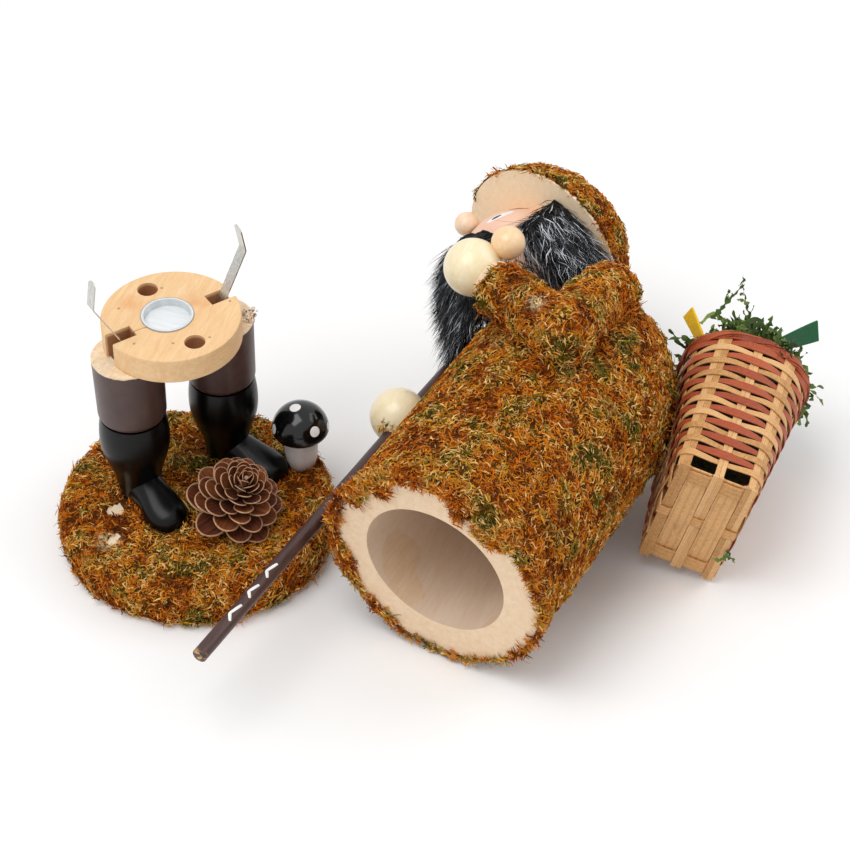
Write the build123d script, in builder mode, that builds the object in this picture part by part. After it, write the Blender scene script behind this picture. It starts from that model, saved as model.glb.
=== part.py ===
from build123d import *
import math
import os

# A moss-clad incense smoker, opened for filling: the lower half stands on its base,
# and the upper half, lifted off the burner plate, lies on its right side beside it.
# Millimetres, +Z up, the upper half lies towards -Y with its crown towards +X,
# the origin is the centre of the base's underside.

# Glued joints and moss
glue_line = 0.1            # gap left between glued curved faces
moss_thickness = 3.0

# Base: a turned wood disc with moss over its top and side
base_radius = 55.0
base_height = 18.0
base_edge_round = 4.0
base_hem = 1.5             # bare wood left below the moss

# Stance: where the legs stand on the base, the line from leg to leg and the way the toes point
stance_x = 12.0
stance_y = 10.2
stride_angle = -39.0
leg_spacing = 41.6
facing = -116.0
toe_splay = 10.0

# Boots
boot_height = 45.0
boot_sole_radius = 7.6
boot_ankle_radius = 10.4
boot_ankle_height = 16.0
boot_flare_radius = 14.4
boot_flare_height = 33.5
boot_top_radius = 13.3
foot_reach = 29.5          # leg axis to the tip of the toe
foot_width = 16.8          # across the round of the toe
foot_height = 10.5         # sole to the top of the toe
instep_width = 15.0
instep_height = 18.5
dowel_radius = 3.0
dowel_length = 24.0
dowel_depth = 10.0         # how far a dowel goes into the base
dowel_fit = 0.1

# Thighs
thigh_length = 30.7
thigh_top_radius = 14.4
thigh_bottom_radius = 14.0
thigh_round = 3.0

# Burner plate with its incense cup, air holes and notches
plate_radius = 28.1
plate_thickness = 11.3
plate_edge_round = 0.6
cup_along = -1.2           # cup off the plate's middle, along the leg line
cup_across = 0.8
cup_radius = 10.0
cup_wall = 0.5
cup_depth = 3.2
cup_lip = 0.5              # rolled lip standing above the plate
cup_lip_width = 0.7
cup_fit = 0.1
air_hole_radius = 4.2
air_hole_circle = 19.4
notch_width = 6.6
notch_inner = 17.0         # plate axis to the inner end of a notch

# Spring strips that grip the bore of the coat
strip_width = 5.2
strip_thickness = 0.5
strip_fold = 18.8          # plate axis to the fold at the foot
strip_rise = 30.6          # fold to the outward bend
strip_lean = 26.5
strip_lip = 12.2
strip_lip_lean = -9.0
strip_bend_round = 2.0
strip_foot = 7.4
strip_fold_gap = 0.35
tack_place = 4.6           # fold to the tack
tack_head_radius = 1.2
tack_head_height = 0.6
tack_shank_radius = 0.5
tack_length = 6.0

# Pine cone
cone_x = -5.6
cone_y = -17.4
cone_lean = 24.0
cone_lean_towards = -122.0
cone_sink = 1.0            # stem end pushed into the moss
cone_core_radius = 7.0
cone_core_height = 33.0
cone_scale_count = 44
cone_scale_length = 16.8
cone_scale_width = 13.4
cone_scale_thickness = 1.3
cone_tip_share = 0.34      # size of the topmost scale against the lowest
cone_first_lift = 3.0     # lift of the lowest scale above level
cone_last_lift = 76.0
golden_angle = 137.508

# Mushroom
mushroom_x = 32.2
mushroom_y = -35.0
mushroom_stem_radius = 7.0
mushroom_neck_radius = 4.8
mushroom_stem_height = 22.0
mushroom_cap_radius = 12.0
mushroom_cap_height = 11.5
mushroom_lip_drop = 2.6

# Coat: a turned hollow body with a domed top
coat_radius = 46.0
coat_shoulder_radius = 44.5
coat_side_height = 90.0
coat_height = 158.0
coat_dome_radius = 35.0
coat_hem = 1.5             # bare wood at the rim below the moss
bore_radius = 30.7
bore_depth = 75.0
flue_radius = 6.0
flue_height = 138.0        # end of the upright flue, above the rim
flue_past = 6.0            # the upright flue runs on past the start of the slanting one
flue_turn = flue_height - flue_past

# Head and hat
hat_forward = 46.8
hat_height = 168.0
hat_tilt = 10.0
hat_radius = 39.1
hat_dome = 32.0
hat_moss = 2.8
hat_moss_rim = 1.3         # moss standing out at the brim
head_radius = 26.0
head_drop = 15.0           # hat underside to the middle of the head
mouth_radius = 4.0
mouth_drop = 2.5           # mouth below the middle of the head
nose_radius = 5.3
nose_lift = 4.3
nose_sink = 0.7
hair_radius = 33.0
hair_length = 23.0
hair_front = 6.0           # hair starts this far behind the middle of the head
beard_start = 9.0          # middle of the head down to the top of the beard
beard_width = 44.0
beard_depth = 36.0
beard_tip_width = 20.0
beard_tip_depth = 20.0
beard_length = 38.0
beard_forward = 11.0       # how far it stands in front of the middle of the head
beard_sag = 10.0           # how far the tip hangs to the side that the figure lies on

# Arms
arm_radius = 11.0
cuff_radius = 9.5
hand_radius = 12.0
hand_sink = 0.6            # how far a hand is let into the end of its forearm
wrist_bare = 3.0           # bare wood between the sleeve's moss and that end
thumb_radius = 7.0
shoulder_out = 33.0
shoulder_forward = 10.0
shoulder_height = 140.0
left_elbow_out = 51.0
left_elbow_forward = 12.0
left_elbow_height = 92.0
left_hand_out = 34.0
left_hand_forward = 59.7
left_hand_height = 109.8
thumb_turn = 45.0          # thumb's bearing on the hand, from straight up to outward
thumb_gap = 17.5           # between the middles of hand and thumb
right_elbow_out = 48.0
right_elbow_forward = 18.0
right_elbow_height = 95.0
right_hand_out = 26.4
right_hand_forward = 53.5
right_hand_height = 71.9

# Walking stick, held nearly upright in the right hand
stick_radius = 3.0
stick_top_radius = 2.3
stick_below_rim = 76.7
stick_length = 212.0
stick_tilt = 1.1           # its top leans back towards the coat
stick_fit = 0.1
stick_end_round = 0.8

# Pannier basket on the back
basket_out = 8.0
basket_back = 72.8
basket_foot = 86.0         # above the coat's rim
basket_lean = 13.0
basket_turn = 5.0
basket_height = 76.0
basket_bottom_width = 66.0
basket_bottom_depth = 34.3
basket_bottom_corner = 5.0
basket_top_width = 62.0
basket_top_depth = 54.0
basket_top_corner = 25.0
basket_wall = 1.8
basket_floor = 2.0
rim_height = 4.0
rim_overhang = 1.4
fill_depth = 30.0
fill_mound = 22.0
fill_shoulder = 15.0       # how far the mound draws in
felt_thickness = 1.4
yellow_felt_width = 8.0
yellow_felt_length = 25.4
yellow_felt_out = 12.0
yellow_felt_inset = 12.5   # from the basket's front edge
yellow_felt_sink = 4.0     # below the basket's top
yellow_felt_lean = 38.0
green_felt_width = 10.0
green_felt_stem = 23.0     # up to its fold
green_felt_tip = 22.0      # past its fold
green_felt_out = 2.0
green_felt_back = 2.0
green_felt_lift = 6.0      # above the basket's top
green_felt_lean = 18.0
green_felt_tip_lean = 42.0

# Where the upper half lies: rim centre, heading of its axis, pitch and roll
laid_x = -38.2
laid_y = -116.2
laid_heading = -12.4
laid_pitch = 3.0
laid_roll = 20.0


def turn(angle):
    return math.cos(math.radians(angle)), math.sin(math.radians(angle))


# Places on the lower half
stride_x, stride_y = turn(stride_angle)
right_leg = (stance_x - stride_x * leg_spacing / 2, stance_y - stride_y * leg_spacing / 2)
left_leg = (stance_x + stride_x * leg_spacing / 2, stance_y + stride_y * leg_spacing / 2)
boot_top = base_height + boot_height
plate_bottom = boot_top + thigh_length
plate_top = plate_bottom + plate_thickness
moss_top = base_height + moss_thickness
plate_plane = Plane((stance_x, stance_y, plate_bottom), (stride_x, stride_y, 0), (0, 0, 1))
cup_place = plate_plane.from_local_coords((cup_along, cup_across, plate_thickness))


def upright(place, height):
    """A plane through a leg's axis: its x is across, its y is up."""
    return Plane((place[0], place[1], height), (1, 0, 0), (0, -1, 0))


def axis_at(place):
    return Axis((place[0], place[1], 0), (0, 0, 1))


with BuildPart() as base_disc:
    Cylinder(base_radius, base_height, align=(Align.CENTER, Align.CENTER, Align.MIN))
    fillet(base_disc.edges().group_by(Axis.Z)[-1], base_edge_round)
    for place in (right_leg, left_leg):
        with Locations((place[0], place[1], base_height)):
            Cylinder(dowel_radius + dowel_fit, dowel_depth, align=(Align.CENTER, Align.CENTER, Align.MAX),
                     mode=Mode.SUBTRACT)
base_disc.part.label = "base_disc"


def boot_shaft(name, place):
    with BuildPart() as shaft:
        with BuildSketch(upright(place, base_height)):
            with BuildLine():
                Line((0, 0), (boot_sole_radius, 0))
                Spline((boot_sole_radius, 0), (boot_ankle_radius, boot_ankle_height),
                       (boot_flare_radius, boot_flare_height), tangents=((0.2, 1), (0, 1)))
                TangentArc((boot_flare_radius, boot_flare_height), (boot_top_radius, boot_height),
                           tangent=(0, 1))
                Polyline((boot_top_radius, boot_height), (0, boot_height), (0, 0))
            make_face()
        revolve(axis=axis_at(place))
        with Locations((place[0], place[1], base_height)):
            Cylinder(dowel_radius + dowel_fit, dowel_length - dowel_depth,
                     align=(Align.CENTER, Align.CENTER, Align.MIN), mode=Mode.SUBTRACT)
    shaft.part.label = name + "_boot_shaft"
    return shaft


def boot_foot(name, place, side, shaft):
    """The toe of a boot: a loft from the shaft over the instep to a round toe, cut flat at the sole."""
    ahead_x, ahead_y = turn(facing + side * toe_splay)
    ahead = Vector(ahead_x, ahead_y, 0)
    heel = Vector(place[0], place[1], base_height)
    stations = (
        (0.0, instep_width, instep_height),
        (foot_reach * 0.3, instep_width, instep_height * 0.83),
        (foot_reach * 0.56, foot_width, foot_height * 1.2),
        (foot_reach * 0.78, foot_width, foot_height),
        (foot_reach * 0.94, foot_width * 0.7, foot_height * 0.8),
        (foot_reach, foot_width * 0.24, foot_height * 0.36),
    )
    with BuildPart() as foot:
        for reach, width, height in stations:
            middle = heel + ahead * reach + Vector(0, 0, height * 0.42)
            with BuildSketch(Plane(middle, ahead.cross(Vector(0, 0, 1)), ahead)):
                Ellipse(width / 2, height * 0.58)
        loft()
        split(bisect_by=Plane.XY.offset(base_height), keep=Keep.TOP)
        add(shaft.part, mode=Mode.SUBTRACT)
        with Locations((place[0], place[1], base_height)):
            Cylinder(dowel_radius + dowel_fit, instep_height * 3, mode=Mode.SUBTRACT)
    foot.part.label = name + "_boot_foot"
    return foot


def thigh(name, place, side):
    tack = plate_plane.from_local_coords((side * (strip_fold + tack_place), 0, 0))
    with BuildPart() as leg:
        with BuildSketch(upright(place, boot_top)):
            with BuildLine():
                Line((0, 0), (thigh_bottom_radius - thigh_round, 0))
                TangentArc((thigh_bottom_radius - thigh_round, 0), (thigh_bottom_radius, thigh_round),
                           tangent=(1, 0))
                Polyline((thigh_bottom_radius, thigh_round), (thigh_top_radius, thigh_length),
                         (0, thigh_length), (0, 0))
            make_face()
        revolve(axis=axis_at(place))
        with Locations(tack):
            Cylinder(tack_shank_radius, tack_length, align=(Align.CENTER, Align.CENTER, Align.MAX),
                     mode=Mode.SUBTRACT)
    leg.part.label = name + "_thigh"
    return leg


right_boot_shaft = boot_shaft("right", right_leg)
left_boot_shaft = boot_shaft("left", left_leg)
right_boot_foot = boot_foot("right", right_leg, -1, right_boot_shaft)
left_boot_foot = boot_foot("left", left_leg, 1, left_boot_shaft)
right_thigh = thigh("right", right_leg, -1)
left_thigh = thigh("left", left_leg, 1)

with BuildPart() as leg_dowels:
    for place in (right_leg, left_leg):
        with Locations((place[0], place[1], base_height - dowel_depth)):
            Cylinder(dowel_radius, dowel_length, align=(Align.CENTER, Align.CENTER, Align.MIN))
leg_dowels.part.label = "leg_dowels"

with BuildPart() as burner_plate:
    with BuildSketch(plate_plane):
        Circle(plate_radius)
        with Locations((0, air_hole_circle), (0, -air_hole_circle)):
            Circle(air_hole_radius, mode=Mode.SUBTRACT)
        for side in (-1, 1):
            with Locations((side * (notch_inner + plate_radius), 0)):
                Rectangle(2 * plate_radius, notch_width, mode=Mode.SUBTRACT)
    extrude(amount=plate_thickness)
    rounds = burner_plate.edges().filter_by(GeomType.CIRCLE).group_by(SortBy.RADIUS)
    fillet(rounds[-1], plate_edge_round)
    with BuildSketch(plate_plane.offset(plate_thickness)):
        with Locations((cup_along, cup_across)):
            Circle(cup_radius + cup_fit)
    extrude(amount=-cup_depth, mode=Mode.SUBTRACT)
burner_plate.part.label = "burner_plate"

with BuildPart() as incense_cup:
    with BuildSketch(upright((cup_place.X, cup_place.Y), plate_top)):
        with BuildLine():
            Polyline((0, -cup_depth), (cup_radius, -cup_depth), (cup_radius, 0),
                     (cup_radius + cup_lip_width, 0), (cup_radius + cup_lip_width, cup_lip),
                     (cup_radius - cup_wall, cup_lip), (cup_radius - cup_wall, cup_wall - cup_depth),
                     (0, cup_wall - cup_depth), (0, -cup_depth))
        make_face()
    revolve(axis=axis_at((cup_place.X, cup_place.Y)))
incense_cup.part.label = "incense_cup"


def strip_plane(side):
    """A plane through the plate's axis and one strip: its x points outward, its y is up."""
    origin = plate_plane.from_local_coords((side * strip_fold, 0, 0))
    outward = Vector(stride_x, stride_y, 0) * side
    return Plane(origin, outward, outward.cross(Vector(0, 0, 1)))


def strip_foot_piece(name, side):
    with BuildPart() as foot:
        with BuildSketch(strip_plane(side)):
            with Locations((strip_fold_gap, 0)):
                Rectangle(strip_foot, strip_thickness, align=(Align.MIN, Align.MIN))
        extrude(amount=strip_width / 2, both=True)
        with Locations(plate_plane.from_local_coords((side * (strip_fold + tack_place), 0, 0))):
            Cylinder(tack_shank_radius, 4 * strip_thickness, mode=Mode.SUBTRACT)
    foot.part.label = name + "_strip_foot"
    return foot


def strip_blade_piece(name, side):
    across, along = math.sin(math.radians(strip_lean)), math.cos(math.radians(strip_lean))
    lip_x, lip_y = math.sin(math.radians(strip_lip_lean)), math.cos(math.radians(strip_lip_lean))
    bend = (strip_rise * math.tan(math.radians(strip_lean)), strip_rise)
    start = (-strip_fold_gap + across * strip_thickness, strip_thickness / 2 + along * strip_thickness)
    with BuildPart() as blade:
        with BuildSketch(strip_plane(side)):
            with BuildLine():
                FilletPolyline(start, bend, (bend[0] + lip_x * strip_lip, bend[1] + lip_y * strip_lip),
                               radius=strip_bend_round)
            trace(line_width=strip_thickness)
        extrude(amount=strip_width / 2, both=True)
        tip = blade.faces().sort_by(Axis.Z)[-1]
        corners = tip.edges().sort_by(SortBy.LENGTH)[:2]
        fillet(corners, strip_width * 0.42)
    blade.part.label = name + "_strip_blade"
    return blade


right_strip_foot = strip_foot_piece("right", -1)
left_strip_foot = strip_foot_piece("left", 1)
right_strip_blade = strip_blade_piece("right", -1)
left_strip_blade = strip_blade_piece("left", 1)

with BuildPart() as strip_tacks:
    for side in (-1, 1):
        spot = plate_plane.from_local_coords((side * (strip_fold + tack_place), 0, strip_thickness))
        with Locations(spot):
            Cylinder(tack_head_radius, tack_head_height, align=(Align.CENTER, Align.CENTER, Align.MIN))
            Cylinder(tack_shank_radius - dowel_fit / 2, tack_length,
                     align=(Align.CENTER, Align.CENTER, Align.MAX))
strip_tacks.part.label = "strip_tacks"

# The pine cone: a tapering core with scales set round it by the golden angle
cone_plane = Plane((cone_x, cone_y, moss_top - cone_sink), (1, 0, 0), (0, 0, 1))
lean_x, lean_y = turn(cone_lean_towards)
cone_up = Vector(lean_x * turn(90 - cone_lean)[0], lean_y * turn(90 - cone_lean)[0], turn(cone_lean)[0])
cone_plane = Plane(cone_plane.origin, (-lean_y, lean_x, 0), cone_up)


def cone_scale_plane(index):
    """The plane of one scale: its x runs outward along the scale, its z is the scale's upper side."""
    share = index / (cone_scale_count - 1)
    outward = turn(index * golden_angle)
    lift = cone_first_lift + (cone_last_lift - cone_first_lift) * share ** 1.3
    run, rise = turn(lift)
    root = cone_core_radius * (1 - share ** 2) * 0.6
    height = cone_core_height * (0.2 + 0.72 * share)
    level = cone_plane.x_dir * outward[0] + cone_plane.y_dir * outward[1]
    along = level * run + cone_plane.z_dir * rise
    above = cone_plane.z_dir * run - level * rise
    origin = cone_plane.from_local_coords((outward[0] * root, outward[1] * root, height))
    return Plane(origin, along, above), 1 - (1 - cone_tip_share) * share


with BuildPart() as pine_cone:
    with BuildSketch(Plane(cone_plane.origin, cone_plane.x_dir, -cone_plane.y_dir)):
        with BuildLine():
            Polyline((0, 0), (cone_core_radius * 0.7, 0), (cone_core_radius, cone_core_height * 0.3),
                     (cone_core_radius * 0.5, cone_core_height * 0.85),
                     (cone_core_radius * 0.2, cone_core_height), (0, cone_core_height), (0, 0))
        make_face()
    revolve(axis=Axis(cone_plane.origin, cone_plane.z_dir))
    for index in range(cone_scale_count):
        scale_plane, size = cone_scale_plane(index)
        with BuildSketch(scale_plane):
            with BuildLine():
                half = cone_scale_width * size / 2
                reach = cone_scale_length * size
                Line((0, -half * 0.4), (reach * 0.62, -half))
                ThreePointArc((reach * 0.62, -half), (reach, 0), (reach * 0.62, half))
                Polyline((reach * 0.62, half), (0, half * 0.4), (0, -half * 0.4))
            make_face()
        extrude(amount=cone_scale_thickness * (1 + size) / 2)
pine_cone.part.label = "pine_cone"

mushroom = (mushroom_x, mushroom_y)
with BuildPart() as mushroom_stem:
    with BuildSketch(upright(mushroom, base_height)):
        with BuildLine():
            Line((0, 0), (mushroom_neck_radius, 0))
            ThreePointArc((mushroom_neck_radius, 0), (mushroom_stem_radius, mushroom_stem_height / 2),
                          (mushroom_neck_radius, mushroom_stem_height))
            Polyline((mushroom_neck_radius, mushroom_stem_height), (0, mushroom_stem_height), (0, 0))
        make_face()
    revolve(axis=axis_at(mushroom))
mushroom_stem.part.label = "mushroom_stem"

with BuildPart() as mushroom_cap:
    with BuildSketch(upright(mushroom, base_height + mushroom_stem_height)):
        with BuildLine():
            Line((0, 0), (mushroom_stem_radius, 0))
            ThreePointArc((mushroom_stem_radius, 0), (mushroom_cap_radius * 0.82, -mushroom_lip_drop * 0.9),
                          (mushroom_cap_radius, 0))
            TangentArc((0, mushroom_cap_height), (mushroom_cap_radius, 0), tangent=(1, 0))
            Line((0, mushroom_cap_height), (0, 0))
        make_face()
    revolve(axis=axis_at(mushroom))
mushroom_cap.part.label = "mushroom_cap"

with BuildPart() as base_moss:
    with Locations((0, 0, base_hem)):
        Cylinder(base_radius + moss_thickness, moss_top - base_hem,
                 align=(Align.CENTER, Align.CENTER, Align.MIN))
    fillet(base_moss.edges().group_by(Axis.Z)[-1], base_edge_round + moss_thickness)
    Cylinder(base_radius + glue_line, base_height, align=(Align.CENTER, Align.CENTER, Align.MIN),
             mode=Mode.SUBTRACT)
    for piece in (right_boot_shaft, left_boot_shaft, right_boot_foot, left_boot_foot,
                  mushroom_stem, pine_cone):
        add(piece.part, mode=Mode.SUBTRACT)
    with Locations(right_leg, left_leg):
        Cylinder(boot_sole_radius, 2 * boot_height, mode=Mode.SUBTRACT)
base_moss.part.label = "base_moss"

lower_half = (base_disc, base_moss, right_boot_shaft, left_boot_shaft, right_boot_foot, left_boot_foot,
              leg_dowels, right_thigh, left_thigh, burner_plate, incense_cup,
              right_strip_foot, left_strip_foot, right_strip_blade, left_strip_blade, strip_tacks,
              pine_cone, mushroom_stem, mushroom_cap)

# The upper half is drawn standing, with its rim on the ground plane: x is the figure's left,
# -y its front and z up. It is laid down as it is written.
hat_plane = Plane((0, -hat_forward, hat_height), (1, 0, 0), (0, turn(90 - hat_tilt)[0], turn(hat_tilt)[0]))
head_middle = hat_plane.from_local_coords((0, 0, -head_drop))
mouth_reach = math.sqrt(head_radius ** 2 - mouth_drop ** 2)
mouth = hat_plane.from_local_coords((0, -mouth_reach, -head_drop - mouth_drop))
flue_start = Vector(0, 0, flue_turn)
flue_plane = Plane(flue_start, (1, 0, 0), mouth - flue_start)
flue_run = (mouth - flue_start).length + mouth_radius


def coat_outline(grow, hem):
    """The coat's half section, grown outward by a thickness and starting at a height above the rim."""
    top = coat_height + grow
    shoulder = coat_shoulder_radius + grow
    dome = coat_dome_radius + grow
    dome_middle = coat_height - coat_dome_radius
    dome_rise = dome_middle - coat_side_height
    sweep_radius = (shoulder ** 2 + dome_rise ** 2 - dome ** 2) / (2 * (shoulder - dome))
    meet = math.atan2(dome_rise, sweep_radius - shoulder)
    brow = (dome * math.cos(meet), dome_middle + dome * math.sin(meet))
    with BuildSketch(Plane.XZ) as outline:
        with BuildLine():
            Polyline((0, hem), (coat_radius + grow, hem), (shoulder, coat_side_height))
            TangentArc((shoulder, coat_side_height), brow, tangent=(0, 1))
            TangentArc((0, top), brow, tangent=(1, 0))
            Line((0, top), (0, hem))
        make_face()
    return outline.sketch


with BuildPart() as coat:
    revolve(coat_outline(0, 0), axis=Axis.Z)
    Cylinder(bore_radius, bore_depth, align=(Align.CENTER, Align.CENTER, Align.MIN), mode=Mode.SUBTRACT)
    Cylinder(flue_radius, flue_height, align=(Align.CENTER, Align.CENTER, Align.MIN), mode=Mode.SUBTRACT)
    with BuildSketch(flue_plane):
        Circle(mouth_radius)
    extrude(amount=flue_run, mode=Mode.SUBTRACT)
    with Locations(head_middle):
        Sphere(head_radius + glue_line, mode=Mode.SUBTRACT)
coat.part.label = "coat"

with BuildPart() as coat_core:
    revolve(coat_outline(glue_line, 0), axis=Axis.Z)

with BuildPart() as coat_form:
    revolve(coat_outline(moss_thickness + glue_line, 0), axis=Axis.Z)

with BuildPart() as head:
    with Locations(head_middle):
        Sphere(head_radius)
    split(bisect_by=hat_plane, keep=Keep.BOTTOM)
    with BuildSketch(flue_plane):
        Circle(mouth_radius)
    extrude(amount=flue_run, mode=Mode.SUBTRACT)
head.part.label = "head"

with BuildPart() as nose:
    nose_rise = math.asin(nose_lift / (head_radius + nose_radius))
    nose_reach = head_radius + nose_radius - nose_sink
    nose_spot = (0, -nose_reach * math.cos(nose_rise), nose_reach * math.sin(nose_rise))
    with Locations(head_middle + Vector(*nose_spot)):
        Sphere(nose_radius)
    with Locations(head_middle):
        Sphere(head_radius, mode=Mode.SUBTRACT)
nose.part.label = "nose"

with BuildPart() as hat:
    with BuildSketch(Plane(hat_plane.origin, hat_plane.x_dir, -hat_plane.y_dir)):
        with BuildLine():
            Line((0, 0), (hat_radius, 0))
            TangentArc((0, hat_dome), (hat_radius, 0), tangent=(1, 0))
            Line((0, hat_dome), (0, 0))
        make_face()
    revolve(axis=Axis(hat_plane.origin, hat_plane.z_dir))
hat.part.label = "hat"

with BuildPart() as hat_moss_cap:
    with BuildSketch(Plane(hat_plane.origin, hat_plane.x_dir, -hat_plane.y_dir)):
        with BuildLine():
            Line((hat_radius + glue_line, 0), (hat_radius + hat_moss_rim, 0))
            TangentArc((0, hat_dome + hat_moss), (hat_radius + hat_moss_rim, 0), tangent=(1, 0))
            Line((0, hat_dome + hat_moss), (0, hat_dome + glue_line))
            TangentArc((0, hat_dome + glue_line), (hat_radius + glue_line, 0), tangent=(1, 0))
        make_face()
    revolve(axis=Axis(hat_plane.origin, hat_plane.z_dir))
hat_moss_cap.part.label = "hat_moss"

with BuildPart() as hair:
    with BuildSketch(hat_plane):
        Circle(hair_radius)
        with Locations((0, -hair_front)):
            Rectangle(2 * hair_radius, 2 * hair_radius, align=(Align.CENTER, Align.MAX), mode=Mode.SUBTRACT)
    extrude(amount=-hair_length)
    with Locations(head_middle):
        Sphere(head_radius + glue_line, mode=Mode.SUBTRACT)
    add(coat_form.part, mode=Mode.SUBTRACT)
hair.part.label = "hair"

with BuildPart() as beard:
    chin = head_middle + Vector(0, -beard_forward, -beard_start)
    with BuildSketch(Plane(chin, (1, 0, 0), (0, 0, 1))):
        Ellipse(beard_width / 2, beard_depth / 2)
    middle = chin + Vector(-beard_sag * 0.35, -beard_forward * 0.3, -beard_length / 2)
    with BuildSketch(Plane(middle, (1, 0, 0), (0, 0, 1))):
        Ellipse(beard_width * 0.42, beard_depth * 0.38)
    with BuildSketch(Plane(chin + Vector(-beard_sag, 0, -beard_length), (1, 0, 0), (0, 0, 1))):
        Ellipse(beard_tip_width / 2, beard_tip_depth / 2)
    loft()
    with Locations(head_middle):
        Sphere(head_radius + glue_line, mode=Mode.SUBTRACT)
    add(coat_form.part, mode=Mode.SUBTRACT)
beard.part.label = "beard"


def arm_places(side, elbow_out, elbow_forward, elbow_height, hand_out, hand_forward, hand_height):
    shoulder = Vector(side * shoulder_out, -shoulder_forward, shoulder_height)
    elbow = Vector(side * elbow_out, -elbow_forward, elbow_height)
    hand = Vector(side * hand_out, -hand_forward, hand_height)
    return shoulder, elbow, hand


left_arm = arm_places(1, left_elbow_out, left_elbow_forward, left_elbow_height,
                      left_hand_out, left_hand_forward, left_hand_height)
right_arm = arm_places(-1, right_elbow_out, right_elbow_forward, right_elbow_height,
                       right_hand_out, right_hand_forward, right_hand_height)
stick_back, stick_up = math.sin(math.radians(stick_tilt)), math.cos(math.radians(stick_tilt))
stick_plane = Plane((-right_hand_out, -right_hand_forward, -stick_below_rim), (1, 0, 0),
                    (0, stick_back, stick_up))
thumb_across, thumb_up = math.sin(math.radians(thumb_turn)), math.cos(math.radians(thumb_turn))
thumb_bearing = Vector(thumb_across, thumb_radius / thumb_gap, thumb_up).normalized()
thumb_middle = left_arm[2] + thumb_bearing * thumb_gap

with BuildPart() as thumb_room:
    with Locations(thumb_middle):
        Sphere(thumb_radius + glue_line)

with BuildPart() as stick_room:
    with BuildSketch(stick_plane):
        Circle(stick_radius + stick_fit)
    extrude(amount=stick_length)


def limb(start, end, start_radius, end_radius, length):
    """The two end sections of a tapering round limb that runs from one joint towards the next."""
    with BuildSketch(Plane(start, z_dir=end - start)) as root:
        Circle(start_radius)
    with BuildSketch(Plane(start + (end - start).normalized() * length, z_dir=end - start)) as tip:
        Circle(end_radius)
    return root.sketch, tip.sketch


def upper_arm(name, joints):
    shoulder, elbow, hand = joints
    with BuildPart() as arm:
        loft(limb(shoulder, elbow, arm_radius, arm_radius, (elbow - shoulder).length))
        with Locations(shoulder, elbow):
            Sphere(arm_radius)
        add(coat_core.part, mode=Mode.SUBTRACT)
    arm.part.label = name + "_upper_arm"
    return arm


def forearm(name, joints, upper, held):
    shoulder, elbow, hand = joints
    with BuildPart() as arm:
        loft(limb(elbow, hand, arm_radius, cuff_radius, (hand - elbow).length - hand_radius + hand_sink))
        with Locations(hand):
            Sphere(hand_radius + glue_line, mode=Mode.SUBTRACT)
        with Locations(elbow):
            Sphere(arm_radius + glue_line, mode=Mode.SUBTRACT)
        add(upper.part, mode=Mode.SUBTRACT)
        add(coat_core.part, mode=Mode.SUBTRACT)
        add(held.part, mode=Mode.SUBTRACT)
    arm.part.label = name + "_forearm"
    return arm


def sleeve_moss(name, joints, upper, lower, held):
    shoulder, elbow, hand = joints
    sleeve_radius = arm_radius + moss_thickness
    with BuildPart() as sleeve:
        loft(limb(shoulder, elbow, sleeve_radius, sleeve_radius, (elbow - shoulder).length))
        with Locations(shoulder, elbow):
            Sphere(sleeve_radius)
        sleeve_length = (hand - elbow).length - hand_radius + hand_sink - wrist_bare
        loft(limb(elbow, hand, sleeve_radius, cuff_radius + moss_thickness, sleeve_length))
        add(coat_form.part, mode=Mode.SUBTRACT)
        add(upper.part, mode=Mode.SUBTRACT)
        add(lower.part, mode=Mode.SUBTRACT)
        add(held.part, mode=Mode.SUBTRACT)
        with Locations(elbow):
            Sphere(arm_radius + glue_line, mode=Mode.SUBTRACT)
        with Locations(hand):
            Sphere(hand_radius + glue_line, mode=Mode.SUBTRACT)
    sleeve.part.label = name + "_sleeve_moss"
    return sleeve


left_upper_arm = upper_arm("left", left_arm)
right_upper_arm = upper_arm("right", right_arm)
left_forearm = forearm("left", left_arm, left_upper_arm, thumb_room)
right_forearm = forearm("right", right_arm, right_upper_arm, stick_room)
left_sleeve_moss = sleeve_moss("left", left_arm, left_upper_arm, left_forearm, thumb_room)
right_sleeve_moss = sleeve_moss("right", right_arm, right_upper_arm, right_forearm, stick_room)

with BuildPart() as left_hand:
    with Locations(left_arm[2]):
        Sphere(hand_radius)
left_hand.part.label = "left_hand"

with BuildPart() as left_thumb:
    with Locations(thumb_middle):
        Sphere(thumb_radius)
    with Locations(left_arm[2]):
        Sphere(hand_radius, mode=Mode.SUBTRACT)
left_thumb.part.label = "left_thumb"

with BuildPart() as right_hand:
    with Locations(right_arm[2]):
        Sphere(hand_radius, rotation=(90, 0, 0))
    add(stick_room.part, mode=Mode.SUBTRACT)
right_hand.part.label = "right_hand"

with BuildPart() as walking_stick:
    with BuildSketch(Plane(stick_plane.origin, stick_plane.x_dir, -stick_plane.y_dir)):
        with BuildLine():
            grip = stick_below_rim + right_hand_height + hand_radius
            Polyline((0, 0), (stick_radius, 0), (stick_radius, grip), (stick_top_radius, stick_length),
                     (0, stick_length), (0, 0))
        make_face()
    revolve(axis=Axis(stick_plane.origin, stick_plane.z_dir))
    fillet(walking_stick.edges().filter_by(GeomType.CIRCLE).group_by(Axis.Z)[0], stick_end_round)
    fillet(walking_stick.edges().filter_by(GeomType.CIRCLE).group_by(Axis.Z)[-1], stick_end_round)
walking_stick.part.label = "walking_stick"

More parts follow.
